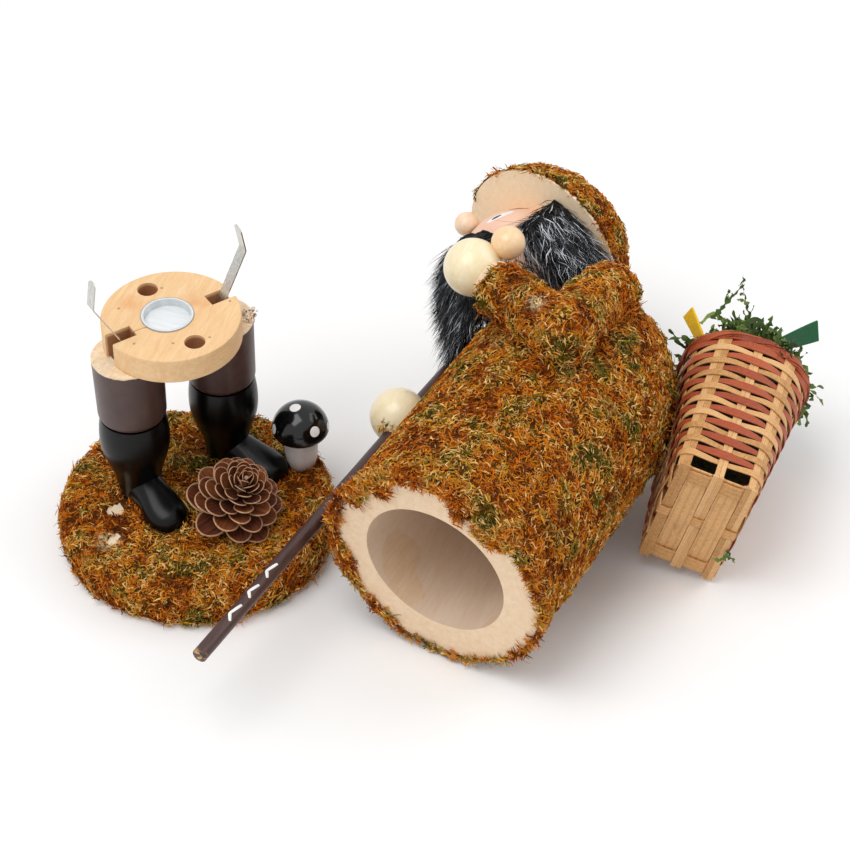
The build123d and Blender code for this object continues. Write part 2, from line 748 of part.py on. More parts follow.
# The pannier: a flared basket with a plaited bottom, a bound rim and a mound of moss
lean_across, lean_along = math.sin(math.radians(basket_lean)), math.cos(math.radians(basket_lean))
turn_across, turn_along = math.sin(math.radians(basket_turn)), math.cos(math.radians(basket_turn))
basket_plane = Plane((basket_out, basket_back, basket_foot),
                     (turn_along, -turn_across * lean_along, -turn_across * lean_across),
                     (0, -lean_across, lean_along))


def basket_section(height, grow):
    """The basket's outline at a height, grown outward or drawn inward."""
    share = height / basket_height
    width = basket_bottom_width + (basket_top_width - basket_bottom_width) * share
    depth = basket_bottom_depth + (basket_top_depth - basket_bottom_depth) * share
    corner = basket_bottom_corner + (basket_top_corner - basket_bottom_corner) * share
    with BuildSketch(basket_plane.offset(height)) as section:
        RectangleRounded(width + 2 * grow, depth + 2 * grow, corner + grow)
    return section.sketch


with BuildPart() as basket_body:
    loft((basket_section(0, 0), basket_section(basket_height, 0)), ruled=True)
    loft((basket_section(0, -basket_wall), basket_section(basket_height, -basket_wall)), ruled=True,
         mode=Mode.SUBTRACT)
basket_body.part.label = "basket_wall"

with BuildPart() as basket_bottom:
    loft((basket_section(0, -basket_wall), basket_section(basket_floor, -basket_wall)), ruled=True)
basket_bottom.part.label = "basket_bottom"

with BuildPart() as basket_rim:
    extrude(basket_section(basket_height, rim_overhang), amount=rim_height)
    extrude(basket_section(basket_height, -basket_wall), amount=rim_height, mode=Mode.SUBTRACT)
basket_rim.part.label = "basket_rim"

lean_along, lean_across = turn(yellow_felt_lean)
yellow_place = (yellow_felt_out, yellow_felt_inset - basket_top_depth / 2, basket_height - yellow_felt_sink)
yellow_spot = Plane(basket_plane.from_local_coords(yellow_place), basket_plane.x_dir,
                    basket_plane.z_dir * lean_along - basket_plane.y_dir * lean_across)
green_place = (green_felt_out, green_felt_back, basket_height + green_felt_lift)
green_spot = Plane(basket_plane.from_local_coords(green_place), basket_plane.y_dir, basket_plane.x_dir)

with BuildPart() as yellow_felt:
    with BuildSketch(yellow_spot):
        Rectangle(yellow_felt_width, felt_thickness)
    extrude(amount=yellow_felt_length)
yellow_felt.part.label = "yellow_felt"

with BuildPart() as green_felt:
    with BuildSketch(green_spot):
        with BuildLine():
            stem = PolarLine((0, 0), green_felt_stem, 90 - green_felt_lean)
            PolarLine(stem @ 1, green_felt_tip, 90 - green_felt_tip_lean)
        trace(line_width=felt_thickness)
    extrude(amount=green_felt_width / 2, both=True)
green_felt.part.label = "green_felt"

with BuildSketch(basket_plane.offset(basket_height + fill_mound)) as mound_top:
    RectangleRounded(basket_top_width - 2 * fill_shoulder, basket_top_depth - 2 * fill_shoulder,
                     basket_top_corner - fill_shoulder)

with BuildPart() as basket_moss:
    fill_top = basket_section(basket_height, -basket_wall)
    mound_foot = basket_section(basket_height + rim_height, -basket_wall - rim_height)
    loft((basket_section(basket_height - fill_depth, -basket_wall), fill_top), ruled=True)
    extrude(fill_top, amount=rim_height)
    loft((mound_foot, mound_top.sketch), ruled=True)
    add(yellow_felt.part, mode=Mode.SUBTRACT)
    add(green_felt.part, mode=Mode.SUBTRACT)
basket_moss.part.label = "basket_moss"

with BuildPart() as coat_moss:
    revolve(coat_outline(moss_thickness, coat_hem), axis=Axis.Z)
    add(coat_core.part, mode=Mode.SUBTRACT)
    for piece in (left_upper_arm, right_upper_arm, left_forearm, right_forearm):
        add(piece.part, mode=Mode.SUBTRACT)
    with Locations(head_middle):
        Sphere(head_radius + glue_line, mode=Mode.SUBTRACT)
    with Locations(right_arm[2]):
        Sphere(hand_radius + glue_line, mode=Mode.SUBTRACT)
    for piece in (hat, hat_moss_cap):
        add(piece.part, mode=Mode.SUBTRACT)
    loft((basket_section(0, glue_line), basket_section(basket_height, glue_line)), ruled=True,
         mode=Mode.SUBTRACT)
    extrude(basket_section(basket_height, rim_overhang + glue_line), amount=rim_height, mode=Mode.SUBTRACT)
coat_moss.part.label = "coat_moss"

upper_half = (coat, coat_moss, head, nose, hat, hat_moss_cap, hair, beard,
              left_upper_arm, right_upper_arm, left_forearm, right_forearm,
              left_sleeve_moss, right_sleeve_moss, left_hand, left_thumb, right_hand, walking_stick,
              basket_body, basket_bottom, basket_rim, basket_moss, yellow_felt, green_felt)

# Laying the upper half down: its axis follows the heading and pitch, then it rolls onto its right side
heading_x, heading_y = turn(laid_heading)
pitch_run, pitch_rise = turn(laid_pitch)
laid_axis = Vector(heading_x * pitch_run, heading_y * pitch_run, pitch_rise)
laid_side = Vector(-heading_y, heading_x, 0)
laid_up = laid_axis.cross(laid_side)
laid_left = laid_up * turn(laid_roll)[0] - laid_side * turn(laid_roll)[1]
laid_rim = (laid_x, laid_y, (coat_radius + moss_thickness) * pitch_run)
laid_down = Plane(laid_rim, laid_left, laid_axis).location

os.makedirs("parts", exist_ok=True)
for piece in lower_half:
    export_step(piece.part, "parts/" + piece.part.label + ".step")
for piece in upper_half:
    export_step(piece.part.moved(laid_down), "parts/" + piece.part.label + ".step")
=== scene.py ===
import bpy
import math
import numpy as np
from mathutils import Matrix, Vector, noise
from mathutils.bvhtree import BVHTree


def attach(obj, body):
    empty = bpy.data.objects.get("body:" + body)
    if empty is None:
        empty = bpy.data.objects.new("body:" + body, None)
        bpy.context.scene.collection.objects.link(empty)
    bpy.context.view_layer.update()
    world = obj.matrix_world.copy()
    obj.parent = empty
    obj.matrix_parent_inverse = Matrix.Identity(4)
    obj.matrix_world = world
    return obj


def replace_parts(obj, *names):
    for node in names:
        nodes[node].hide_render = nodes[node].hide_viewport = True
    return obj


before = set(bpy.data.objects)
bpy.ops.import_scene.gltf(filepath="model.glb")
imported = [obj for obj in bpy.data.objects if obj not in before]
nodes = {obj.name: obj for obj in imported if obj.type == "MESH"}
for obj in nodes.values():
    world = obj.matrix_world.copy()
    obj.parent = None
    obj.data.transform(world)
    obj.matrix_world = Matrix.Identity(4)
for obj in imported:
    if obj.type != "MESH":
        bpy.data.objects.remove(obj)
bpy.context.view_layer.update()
mm = 0.001
noise.seed_set(11)  # vector noise is otherwise seeded by the clock
print("frame loaded:", len(nodes), "nodes")


# shader maths on sockets
class Wire:
    def __init__(self, socket):
        self.socket = socket
        self.tree = socket.id_data

    def reckon(self, operation, first, second):
        return addNode(self.tree, "ShaderNodeMath", {"operation": operation}, {0: first, 1: second})

    def __add__(self, other):
        return self.reckon("ADD", self, other)

    def __sub__(self, other):
        return self.reckon("SUBTRACT", self, other)

    def __rsub__(self, other):
        return self.reckon("SUBTRACT", other, self)

    def __mul__(self, other):
        return self.reckon("MULTIPLY", self, other)

    __radd__ = __add__
    __rmul__ = __mul__


def addNode(tree, kind, settings={}, sockets={}, output=0):
    node = tree.nodes.new(kind)
    for key, value in settings.items():
        if key == "stops":
            elements = node.color_ramp.elements
            elements[0].position, elements[0].color = value[0]
            elements[1].position, elements[1].color = value[-1]
            for place, shade in value[1:-1]:
                elements.new(place).color = shade
        else:
            setattr(node, key, value)
    for key, value in sockets.items():
        if isinstance(value, Wire):
            tree.links.new(value.socket, node.inputs[key])
        else:
            node.inputs[key].default_value = value
    return Wire(node.outputs[output])


def colour(code):  # written colour to the linear one
    shares = [int(code[i:i + 2], 16) / 255 for i in (0, 2, 4)]
    return tuple(((v + 0.055) / 1.055) ** 2.4 if v > 0.04 else v / 12.92 for v in shares) + (1,)


class Finish:  # one material with the nodes that most of them need
    def __init__(self, name):
        self.material = bpy.data.materials.new(name)
        self.material.use_nodes = True
        self.tree = self.material.node_tree
        self.shader = self.tree.nodes["Principled BSDF"]
        self.place = self.add("ShaderNodeTexCoord", output="Object")

    def add(self, kind, settings={}, sockets={}, output=0):
        return addNode(self.tree, kind, settings, sockets, output)

    def noise(self, scale, detail=3, rough=0.55, at=None, warp=0):
        return self.add("ShaderNodeTexNoise", {}, {"Vector": at or self.place, "Scale": scale, "Detail": detail,
                                                   "Roughness": rough, "Distortion": warp}, "Fac")

    def ramp(self, value, *stops):
        stops = [(p, colour(c) if isinstance(c, str) else (c, c, c, 1)) for p, c in stops]
        return self.add("ShaderNodeValToRGB", {"stops": stops}, {0: value})

    def level(self, value, low, high):  # 0 below low, 1 above high
        return self.add("ShaderNodeMapRange", {"interpolation_type": "SMOOTHSTEP"},
                        {0: value, 1: low, 2: high, 3: 0.0, 4: 1.0})

    def mix(self, share, first, second):
        return self.add("ShaderNodeMix", {"data_type": "RGBA"}, {0: share, 6: first, 7: second}, 2)

    def stretch(self, factors, turned=(0, 0, 0)):
        return self.add("ShaderNodeMapping", {}, {"Vector": self.place, "Scale": factors, "Rotation": turned})

    def vector(self, operation, first, second=(0, 0, 0), output="Value"):
        return self.add("ShaderNodeVectorMath", {"operation": operation}, {0: first, 1: second}, output)

    # these take spots in millimetres and give metres
    def arm(self, spot):  # from a spot to here
        return self.vector("SUBTRACT", self.place, [v * mm for v in spot], "Vector")

    def away(self, spot):  # distance from a spot
        return self.vector("DISTANCE", self.place, [v * mm for v in spot])

    def offAxis(self, spot, along):  # distance from a line
        return self.vector("LENGTH", self.vector("CROSS_PRODUCT", self.arm(spot), along, "Vector"))

    def upAxis(self, spot, along):  # distance along a line
        return self.vector("DOT_PRODUCT", self.arm(spot), along)

    def height(self):
        return self.add("ShaderNodeSeparateXYZ", {}, {0: self.place}, "Z")

    def attribute(self, name):
        return self.add("ShaderNodeAttribute", {"attribute_name": name}, output="Fac")

    def bump(self, height, strength, depth):
        sockets = {"Height": height, "Strength": strength, "Distance": depth}
        return self.add("ShaderNodeBump", {}, sockets, "Normal")

    def wear(self, **values):  # sockets by name, written without their spaces
        for socket in self.shader.inputs:
            key = socket.name.replace(" ", "")
            key = key[0].lower() + key[1:]
            if key in values:
                value = values[key]
                if isinstance(value, Wire):
                    self.tree.links.new(value.socket, socket)
                else:
                    socket.default_value = value
        return self.material


# the laid upper half: its foot, left, back and up, in the shared frame
laid = {"rim": (-38.2, -116.2), "heading": -12.4, "pitch": 3.0, "roll": 20.0, "rimReach": 49.0}


def turn(angle):
    return math.cos(math.radians(angle)), math.sin(math.radians(angle))


def unit(vector):
    vector = np.asarray(vector, float)
    return vector / np.linalg.norm(vector, axis=-1, keepdims=True)


def repeated(vector, rows):  # one vector for each row
    return np.tile(vector, (len(rows), 1))


headX, headY = turn(laid["heading"])
pitchRun, pitchRise = turn(laid["pitch"])
figureUp = np.array((headX * pitchRun, headY * pitchRun, pitchRise))
figureSide = np.array((-headY, headX, 0))
figureLeft = np.cross(figureUp, figureSide) * turn(laid["roll"])[0] - figureSide * turn(laid["roll"])[1]
figureBack = np.cross(figureUp, figureLeft)
figureFoot = np.array((*laid["rim"], laid["rimReach"] * pitchRun))


def onFigure(left, back, up):
    return figureFoot + left * figureLeft + back * figureBack + up * figureUp


# camera, light and floor
camera = {"at": (-712.3, -331.4, 768.1), "towards": (0.7038, 0.2287, -0.6726), "focus": 2600 / 850,
          "sensor": 36}
studio = {"world": 0.62, "shine": 0.8, "aim": (0.03, -0.08, 0.04), "floorSize": 8, "floorDrop": 0.0004,
          # power, size and place
          "lamps": {"key": (9.0, 0.9, (-0.35, 0.25, 1.25)), "fill": (2.6, 0.7, (0.5, -0.85, 0.75))}}


def shaped(add, **sizes):  # a new object from one of the add operators
    bpy.ops.object.select_all(action="DESELECT")
    add(**sizes)
    return bpy.context.object


def setStage():
    scene = bpy.context.scene
    scene.view_settings.view_transform = "Standard"
    eye = shaped(bpy.ops.object.camera_add, location=[v * mm for v in camera["at"]])
    eye.rotation_euler = Vector(camera["towards"]).to_track_quat("-Z", "Y").to_euler()
    eye.data.lens = camera["focus"] * camera["sensor"]
    eye.data.sensor_width = camera["sensor"]
    eye.data.clip_end = 20
    scene.camera = eye
    world = bpy.data.worlds.new("studioWorld")
    scene.world = world
    world.use_nodes = True
    tree = world.node_tree
    back = tree.nodes["Background"]
    seen = addNode(tree, "ShaderNodeLightPath", output="Is Camera Ray")
    shiny = addNode(tree, "ShaderNodeLightPath", output="Is Glossy Ray")
    through = addNode(tree, "ShaderNodeLightPath", output="Is Transmission Ray")
    plain = addNode(tree, "ShaderNodeMath", {"operation": "MAXIMUM"}, {0: seen, 1: through})
    plain = addNode(tree, "ShaderNodeMath", {"operation": "MAXIMUM"}, {0: plain, 1: shiny * studio["shine"]})
    tree.links.new((plain * (1 - studio["world"]) + studio["world"]).socket, back.inputs["Strength"])
    back.inputs["Color"].default_value = (1, 1, 1, 1)
    for name, (power, size, spot) in studio["lamps"].items():
        lamp = shaped(bpy.ops.object.light_add, type="AREA", location=spot)
        lamp.name = name + "Lamp"
        lamp.data.energy, lamp.data.size = power, size
        aim = Vector(studio["aim"]) - lamp.location
        lamp.rotation_euler = aim.to_track_quat("-Z", "Y").to_euler()
    floor = shaped(bpy.ops.mesh.primitive_plane_add, size=studio["floorSize"],
                   location=(0, 0, -studio["floorDrop"]))
    floor.name = "paleFloor"
    paper = Finish("paleFloor")
    floor.data.materials.append(paper.wear(baseColor=paper.ramp(paper.noise(3), (0, "fbfbfb"), (1, "fdfdfd")),
                                           roughness=0.75, specularIORLevel=0.2))
    print("camera, light and floor set")


setStage()


# meshes
def newPiece(name, points, faces, finish, body, smooth=False):  # points in millimetres
    mesh = bpy.data.meshes.new(name)
    mesh.from_pydata(np.asarray(points, float) * mm, [], faces)
    mesh.update()
    mesh.materials.append(finish)
    if smooth:
        mesh.polygons.foreach_set("use_smooth", np.ones(len(mesh.polygons), bool))
    piece = bpy.data.objects.new(name, mesh)
    bpy.context.scene.collection.objects.link(piece)
    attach(piece, body)
    return piece


def pick(piece):  # makes it the one piece that operators work on
    bpy.ops.object.select_all(action="DESELECT")
    piece.select_set(True)
    bpy.context.view_layer.objects.active = piece


def applyAll(piece):
    for modifier in list(piece.modifiers):
        bpy.ops.object.modifier_apply(modifier=modifier.name)


def editMesh(change, **settings):  # an edit mode operator on the whole of the active mesh
    bpy.ops.object.mode_set(mode="EDIT")
    bpy.ops.mesh.select_all(action="SELECT")
    change(**settings)
    bpy.ops.object.mode_set(mode="OBJECT")


def keepShares(mesh, name, shares):  # a value for each point, which materials read
    mesh.attributes.new(name, "FLOAT", "POINT").data.foreach_set("value", np.asarray(shares, np.float32))


def meshArrays(mesh):  # points in millimetres and triangles
    mesh.calc_loop_triangles()
    points = np.empty(len(mesh.vertices) * 3)
    mesh.vertices.foreach_get("co", points)
    corners = np.empty(len(mesh.loop_triangles) * 3, np.int32)
    mesh.loop_triangles.foreach_get("vertices", corners)
    return points.reshape(-1, 3) / mm, corners.reshape(-1, 3)


def setPoints(mesh, points):
    mesh.vertices.foreach_set("co", (points * mm).ravel())


def scatter(mesh, rng, count=None, perArea=None):  # roots spread evenly over a surface, with its normals
    points, corners = meshArrays(mesh)
    first, second, third = points[corners[:, 0]], points[corners[:, 1]], points[corners[:, 2]]
    across = np.cross(second - first, third - first)
    size = np.linalg.norm(across, axis=1)
    count = count or int(size.sum() / 2 * perArea)
    chosen = rng.choice(len(corners), count, p=size / size.sum())
    a, b = rng.random(count), rng.random(count)
    over = a + b > 1
    a[over], b[over] = 1 - a[over], 1 - b[over]
    roots = first[chosen] + (second - first)[chosen] * a[:, None] + (third - first)[chosen] * b[:, None]
    return roots, across[chosen] / size[chosen][:, None]


def blockTree(names):  # a search tree of some CAD nodes
    points, faces, start = [], [], 0
    for name in names:
        p, f = meshArrays(nodes[name].data)
        points.append(p)
        faces.append(f + start)
        start += len(p)
    return BVHTree.FromPolygons(np.concatenate(points).tolist(), np.concatenate(faces).tolist())


# drops roots inside a piece or close in front of one
def openRoots(roots, normals, tree, reach, lift=0.4, near=5):
    keep = np.ones(len(roots), bool)
    for index, (root, normal) in enumerate(zip(roots.tolist(), normals.tolist())):
        start = Vector(root) + lift * Vector(normal)
        place, out, _, far = tree.find_nearest(start)
        inside = far < near and (start - place).dot(out) < 0
        keep[index] = not inside and tree.ray_cast(start, Vector(normal), reach)[0] is None
    return roots[keep], normals[keep]


strandLook = {"floor": 0.4, "steepest": -0.62, "cell": 0.7}  # share of its map cell that a strand fills


# comb gives each strand's way, keepOff balls to stay clear of, and calm how flat a strand lies
def growStrands(name, roots, normals, look, finish, body, seed, comb=None, keepOff=(), calm=0.0):
    rng = np.random.default_rng(seed)
    count, steps = len(roots), look["steps"]
    tint = rng.random(count)

    def spread(key):
        low, high = look[key]
        return rng.uniform(low, high, count)

    loose = rng.normal(size=(count, 3))
    if "clump" in look:  # neighbours lie alike and share a hue
        flow = [noise.noise_vector(Vector(r) / look["clump"]) for r in roots.tolist()]
        loose += look["flow"] * np.array(flow)
        hue = np.array([noise.noise(Vector(r) / look["hue"]) for r in roots.tolist()])
        straw = rng.random(count) < look["straw"]
        tint = np.where(straw, 0.7, np.clip(0.46 + hue * 0.85 + (tint - 0.5) * 0.4, 0, 1))
    along = unit(loose - (loose * normals).sum(1)[:, None] * normals)
    if comb is not None:
        along = unit(comb + along * look["stray"])
        into = np.minimum((along * normals).sum(1), 0)
        along = unit(along - into[:, None] * normals)  # never into the bed
    side = unit(np.cross(normals, along))
    length, width, lift, hump = spread("length"), spread("width"), spread("lift"), spread("hump")
    lift, hump, length = lift * (1 - 0.9 * calm), hump * (1 - 0.7 * calm), length * (1 - 0.45 * calm)
    bend = rng.normal(0, look["bend"], count)
    curl = rng.normal(0, look["bend"], count)
    roll = rng.uniform(-1, 1, count) * look["roll"]
    share = np.linspace(0, 1, steps + 1)
    rise = lift[:, None] * share ** 1.5 + hump[:, None] * np.sin(math.pi * share)
    swing = bend[:, None] * share ** 2 + curl[:, None] * np.sin(2 * math.pi * share) * 0.35
    sunk = normals * (look["sink"] * (1 - 1.4 * np.broadcast_to(calm, count)))[:, None]
    path = (roots - sunk)[:, None] + length[:, None, None] * (
        along[:, None] * share[:, None] + normals[:, None] * rise[..., None] + side[:, None] * swing[..., None])
    if "droop" in look:
        path[..., 2] -= (length * look["droop"])[:, None] * share ** 2
    path[..., 2] = np.maximum(path[..., 2], strandLook["floor"])
    clear = np.ones(count, bool) if comb is None else into > strandLook["steepest"]
    for spot, reach in keepOff:  # none may lie on a smooth ball
        clear &= (np.linalg.norm(path - spot, axis=2) > reach).all(1)
    path, side, normals, width, roll, tint = (a[clear] for a in (path, side, normals, width, roll, tint))
    count = len(path)
    twist = roll[:, None] * (0.4 + share)
    across = side[:, None] * np.cos(twist)[..., None] + normals[:, None] * np.sin(twist)[..., None]
    half = width[:, None] * np.interp(share, *look["taper"]) / 2
    points = np.stack((path + across * half[..., None], path - across * half[..., None]), 2).reshape(-1, 3)
    rows = 2 * (steps + 1)
    one = np.array([(2 * i, 2 * i + 1, 2 * i + 3, 2 * i + 2) for i in range(steps)])
    faces = (np.arange(count)[:, None, None] * rows + one).reshape(-1, 4)
    piece = newPiece(name, points, faces, finish, body)
    keepShares(piece.data, "tint", np.repeat(tint, rows))
    keepShares(piece.data, "reach", np.tile(np.repeat(share, 2), count))
    cells = math.ceil(math.sqrt(count))  # each strand has its own small patch of the map
    cell = np.stack((np.arange(count) % cells, np.arange(count) // cells), 1)
    spot = np.stack((np.repeat(share, 2), np.tile((0.0, 1.0), steps + 1)), 1)
    spot = spot * strandLook["cell"] + (1 - strandLook["cell"]) / 2
    spots = ((cell[:, None] + spot) / cells).reshape(-1, 2)
    corners = np.empty(len(piece.data.loops), np.int32)
    piece.data.loops.foreach_get("vertex_index", corners)
    piece.data.uv_layers.new(name="OFBake").data.foreach_set("uv", spots[corners].ravel())
    return piece


def bedCopy(name, node, finish, look, body, tree=None):  # a lumpy copy of a CAD solid, under the strands
    piece = bpy.data.objects.new(name, nodes[node].data.copy())
    bpy.context.scene.collection.objects.link(piece)
    piece.data.materials.clear()
    piece.data.materials.append(finish)
    pick(piece)
    weld = piece.modifiers.new("weld", "WELD")
    weld.merge_threshold = 1e-5
    grain = piece.modifiers.new("grain", "REMESH")
    grain.mode, grain.voxel_size, grain.use_smooth_shade = "VOXEL", look["voxel"] * mm, True
    applyAll(piece)
    points, _ = meshArrays(piece.data)
    normals = np.empty(points.size)
    piece.data.vertices.foreach_get("normal", normals)
    normals = normals.reshape(-1, 3)
    for index, (point, normal) in enumerate(zip(points.tolist(), normals.tolist())):
        # it stays as it is where another piece lies just behind or in front
        if tree is None or tree.ray_cast(Vector(point) - 0.6 * Vector(normal), normal, 3.2)[0] is None:
            lump = noise.noise(Vector(point) / look["lump"])
            lump += 0.5 * noise.noise(Vector(point) * 2.3 / look["lump"])
            points[index] += normals[index] * (lump * look["push"] - look["inset"])
    setPoints(piece.data, points)
    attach(piece, body)
    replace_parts(piece, node)
    return piece


# dry moss on the base, coat, hat and sleeves
balls = {"left_hand": (onFigure(34.0, -59.7, 109.8), 12.0), "right_hand": (onFigure(-26.4, -53.5, 71.9), 12.0),
         "left_thumb": (onFigure(45.5, -53.2, 121.3), 7.0)}  # middle and radius
hat = {"middle": onFigure(0, -46.8, 168.0), "tilt": 10.0, "headDrop": 15.0, "headRadius": 26.0}
hatUp = turn(hat["tilt"])[0] * figureUp + turn(hat["tilt"])[1] * figureBack
headMiddle = hat["middle"] - hatUp * hat["headDrop"]
stickMarks = {"foot": (-99.94, -41.91, 38.42), "top": (106.04, -91.11, 48.12), "radius": 3.0, "length": 8.0,
              "wide": 1.4,
              "at": ((48.9, 1.0), (36.4, 0.92), (23.6, 1.12)),  # way up the stick and share of the length
              "knee": 0.3, "legs": (-62, 24), "turn": 12,
              "edges": ((-1, 0.02), (-0.5, 0.2), (0.5, 0.2), (1, 0.02))}
stickFoot, stickTop = np.array(stickMarks["foot"]), np.array(stickMarks["top"])
mossLook = {
    "bed": {"voxel": 1.5, "lump": 8.0, "push": 1.15, "inset": 1.5},
    "strand": {"length": (1.8, 4.4), "width": (0.5, 1.0), "lift": (-0.06, 0.26), "hump": (0.0, 0.24),
               "bend": 0.5, "roll": 1.2, "steps": 3, "sink": 0.4, "taper": ((0, 0.5, 1), (0.6, 1, 0.2)),
               "clump": 6.0, "flow": 2.2, "hue": 8.0, "straw": 0.05},
    "perArea": 2.0, "reach": 2.6, "hatInset": 1.1, "hatEdge": (0.4, 1.2), "baseEdge": (0.3, 1.5),
    "wood": (46.0, 1.5, 130.0),  # the coat's radius, how much it draws in and over what height
    # place, then half width across and along
    "bare": ((-16.9, 29.3, 20.0, 3.8, 2.6), (-33.4, 23.1, 20.0, 2.2, 3.0)),
    "bareDip": 17.4,
    "pale": ((49.9, -129.1, 118.7, 6.0), (-36.0, 24.0, 21.0, 7.0)),  # place and reach
    # moss glued onto the coat's end face: bearing from the left side to the front, half arc and depth
    "tufts": ((55, 8, 9.5), (74, 9, 8.0), (100, 7, 2.5), (128, 17, 5.5), (3, 6, 10.0), (-17, 10, 11.0),
              (27, 5, 1.5), (165, 10, 3.0)),
    "tuftCount": 15000, "tuftRing": (34.0, 47.5), "tuftEdge": 46.2, "tuftSink": 1.6,
    "edgeCount": 2200, "edgeArc": (-65, 150), "edgeRadius": 46.4, "edgeHeight": (-0.6, 0.8),
    "crumbCount": 60, "crumbWay": (-0.95, 0.13, 0.22), "crumbLength": (1.4, 3.6),
    "clean": (253, 66), "calm": (88, 30),  # middle and half of the arcs kept bare and kept flat
    "parts": {"base_moss": 2, "coat_moss": 3, "hat_moss": 1, "left_sleeve_moss": 1, "right_sleeve_moss": 1},
}


def arcFade(bearing, middle, half, power=8):  # 1 inside an arc given by its middle and half, 0 outside
    return np.exp(-(((bearing - middle + 180) % 360 - 180) / half) ** power)


def arcShare(points, arc):  # the same for points round the coat
    off = points - figureFoot
    return arcFade(np.degrees(np.arctan2(-(off @ figureBack), off @ figureLeft)), *arc)


def outward(bearing):
    return np.cos(bearing)[:, None] * figureLeft - np.sin(bearing)[:, None] * figureBack


def mossFinish(name, bed):
    f = Finish(name)
    patch = f.noise(48, 3, 0.55)
    fleck = f.noise(420, 2, 0.6)
    if bed:
        # the bed is kept dark: painted shade in the gaps between the strands
        base = f.ramp(f.noise(260, 4, 0.65), (0.3, "1c0c02"), (0.5, "4f2807"), (0.7, "8a5213"))
        base = f.mix(f.level(patch, 0.52, 0.66) * 0.5, base, colour("35310a"))
    else:
        base = f.ramp(f.attribute("tint"), (0.0, "6a2d06"), (0.2, "a04b0d"), (0.36, "d27315"), (0.5, "bd7213"),
                      (0.62, "d99425"), (0.7, "eec47c"), (0.78, "a08222"), (0.94, "4e4c0e"))
        base = f.mix(f.level(patch, 0.42, 0.3) * 0.45, base, colour("5a2a08"))
        # painted highlight: pale flecks on some strand tips
        tip = f.level(f.attribute("reach"), 0.6, 1.0) * f.level(fleck, 0.5, 0.6)
        base = f.mix(tip * 0.55, base, colour("f2cf94"))
        # painted shade: each strand darker towards its root, down in the gaps between strands
        base = f.mix(f.level(f.attribute("reach"), 0.45, 0.0) * 0.6, base, colour("3c1c05"))
    pale = 0
    for *spot, reach in mossLook["pale"]:
        ragged = f.away(spot) + (fleck - 0.5) * reach * mm * 2
        pale = pale + f.level(ragged, reach * mm, reach * mm * 0.2)
    base = f.mix(pale * f.level(fleck, 0.34, 0.56) * (0.75 if bed else 0.9), base, colour("fde9b4"))
    return f.wear(baseColor=base, roughness=f.level(fleck, 0.2, 0.9) * 0.2 + 0.66, specularIORLevel=0.08,
                  normal=f.bump(f.noise(700, 3, 0.7), 0.5, 0.0006))


def bareSpot(points, spot):  # how far points lie outside an oval bare spot, below 1 inside it
    *middle, wide, long = spot
    return np.linalg.norm((points - middle) / (long * 1.6, wide, 6), axis=1)


def trimBed(bed, node):  # keeps the bed off the brim and the end face, and dips it under the bare wood
    points, _ = meshArrays(bed.data)
    if node == "base_moss":
        points[:, 2] = np.maximum(points[:, 2], mossLook["baseEdge"][0])
        for spot in mossLook["bare"]:
            points[bareSpot(points, spot) < 1, 2] = mossLook["bareDip"]
    elif node == "hat_moss":
        height = (points - hat["middle"]) @ hatUp
        points += np.clip(mossLook["hatEdge"][0] - height, 0, None)[:, None] * hatUp
    elif node == "coat_moss":
        height = (points - figureFoot) @ figureUp
        edge = 2.0 * arcShare(points, mossLook["clean"]) - 0.2
        points += np.clip(edge - height, 0, None)[:, None] * figureUp
        out = points - figureFoot
        out = out - (out @ figureUp)[:, None] * figureUp
        radius = np.linalg.norm(out, axis=1)
        widest, drawn, run = mossLook["wood"]
        wood = widest + 0.4 - drawn * np.clip(height / run, 0, 1)
        flat = 0.85 * arcShare(points, mossLook["calm"]) * np.clip(radius - wood, 0, None) * (height < run)
        points -= out / radius[:, None] * flat[:, None]  # thin beside the stick
    setPoints(bed.data, points)


def makeMoss():
    strandPaint = mossFinish("dryMoss", False)
    bedPaint = mossFinish("mossBed", True)
    upperTree = blockTree(("coat", "head", "hat", "left_upper_arm", "right_upper_arm", "left_forearm",
                           "right_forearm", "left_hand", "left_thumb", "right_hand", "basket_wall"))
    lowerTree = blockTree(("base_disc", "right_boot_foot", "left_boot_foot", "right_boot_shaft",
                           "left_boot_shaft", "mushroom_stem"))
    keepOff = [(spot, reach + 0.5) for spot, reach in balls.values()]
    keepOff += [(stickFoot + (stickTop - stickFoot) * share, stickMarks["radius"] + 0.4)
                for share in np.linspace(0.3, 1, 60)]
    for seed, (node, parts) in enumerate(mossLook["parts"].items()):
        rng = np.random.default_rng(40 + seed)
        body, tree = ("lower_half", lowerTree) if node == "base_moss" else ("upper_half", upperTree)
        bedLook = mossLook["bed"] | ({"inset": mossLook["hatInset"]} if node == "hat_moss" else {})
        bed = bedCopy(node + "_bed", node, bedPaint, bedLook, body, tree)
        trimBed(bed, node)
        roots, normals = scatter(bed.data, rng, perArea=mossLook["perArea"])
        roots, normals = openRoots(roots, normals, tree, mossLook["reach"])
        keep, calm = np.ones(len(roots), bool), np.zeros(len(roots))
        if node == "hat_moss":
            keep = (roots - hat["middle"]) @ hatUp > mossLook["hatEdge"][1]
        elif node == "coat_moss":
            keep = (roots - figureFoot) @ figureUp > 0.1 + 2.6 * arcShare(roots, mossLook["clean"])
            calm = arcShare(roots, mossLook["calm"])
        elif node == "base_moss":
            keep = roots[:, 2] > mossLook["baseEdge"][1]
            for spot in mossLook["bare"]:
                keep &= bareSpot(roots, spot) > rng.uniform(0.9, 1.9, len(roots))
        roots, normals, calm = roots[keep], normals[keep], calm[keep]
        for part in range(parts):  # in parts, since a piece has a limit of triangles
            growStrands(f"{node}_strands_{part + 1}", roots[part::parts], normals[part::parts],
                        mossLook["strand"], strandPaint, body, 60 + 10 * seed + part, None,
                        keepOff, calm[part::parts])
        print("moss grown on", node, len(roots), "strands")
    growTufts(strandPaint)


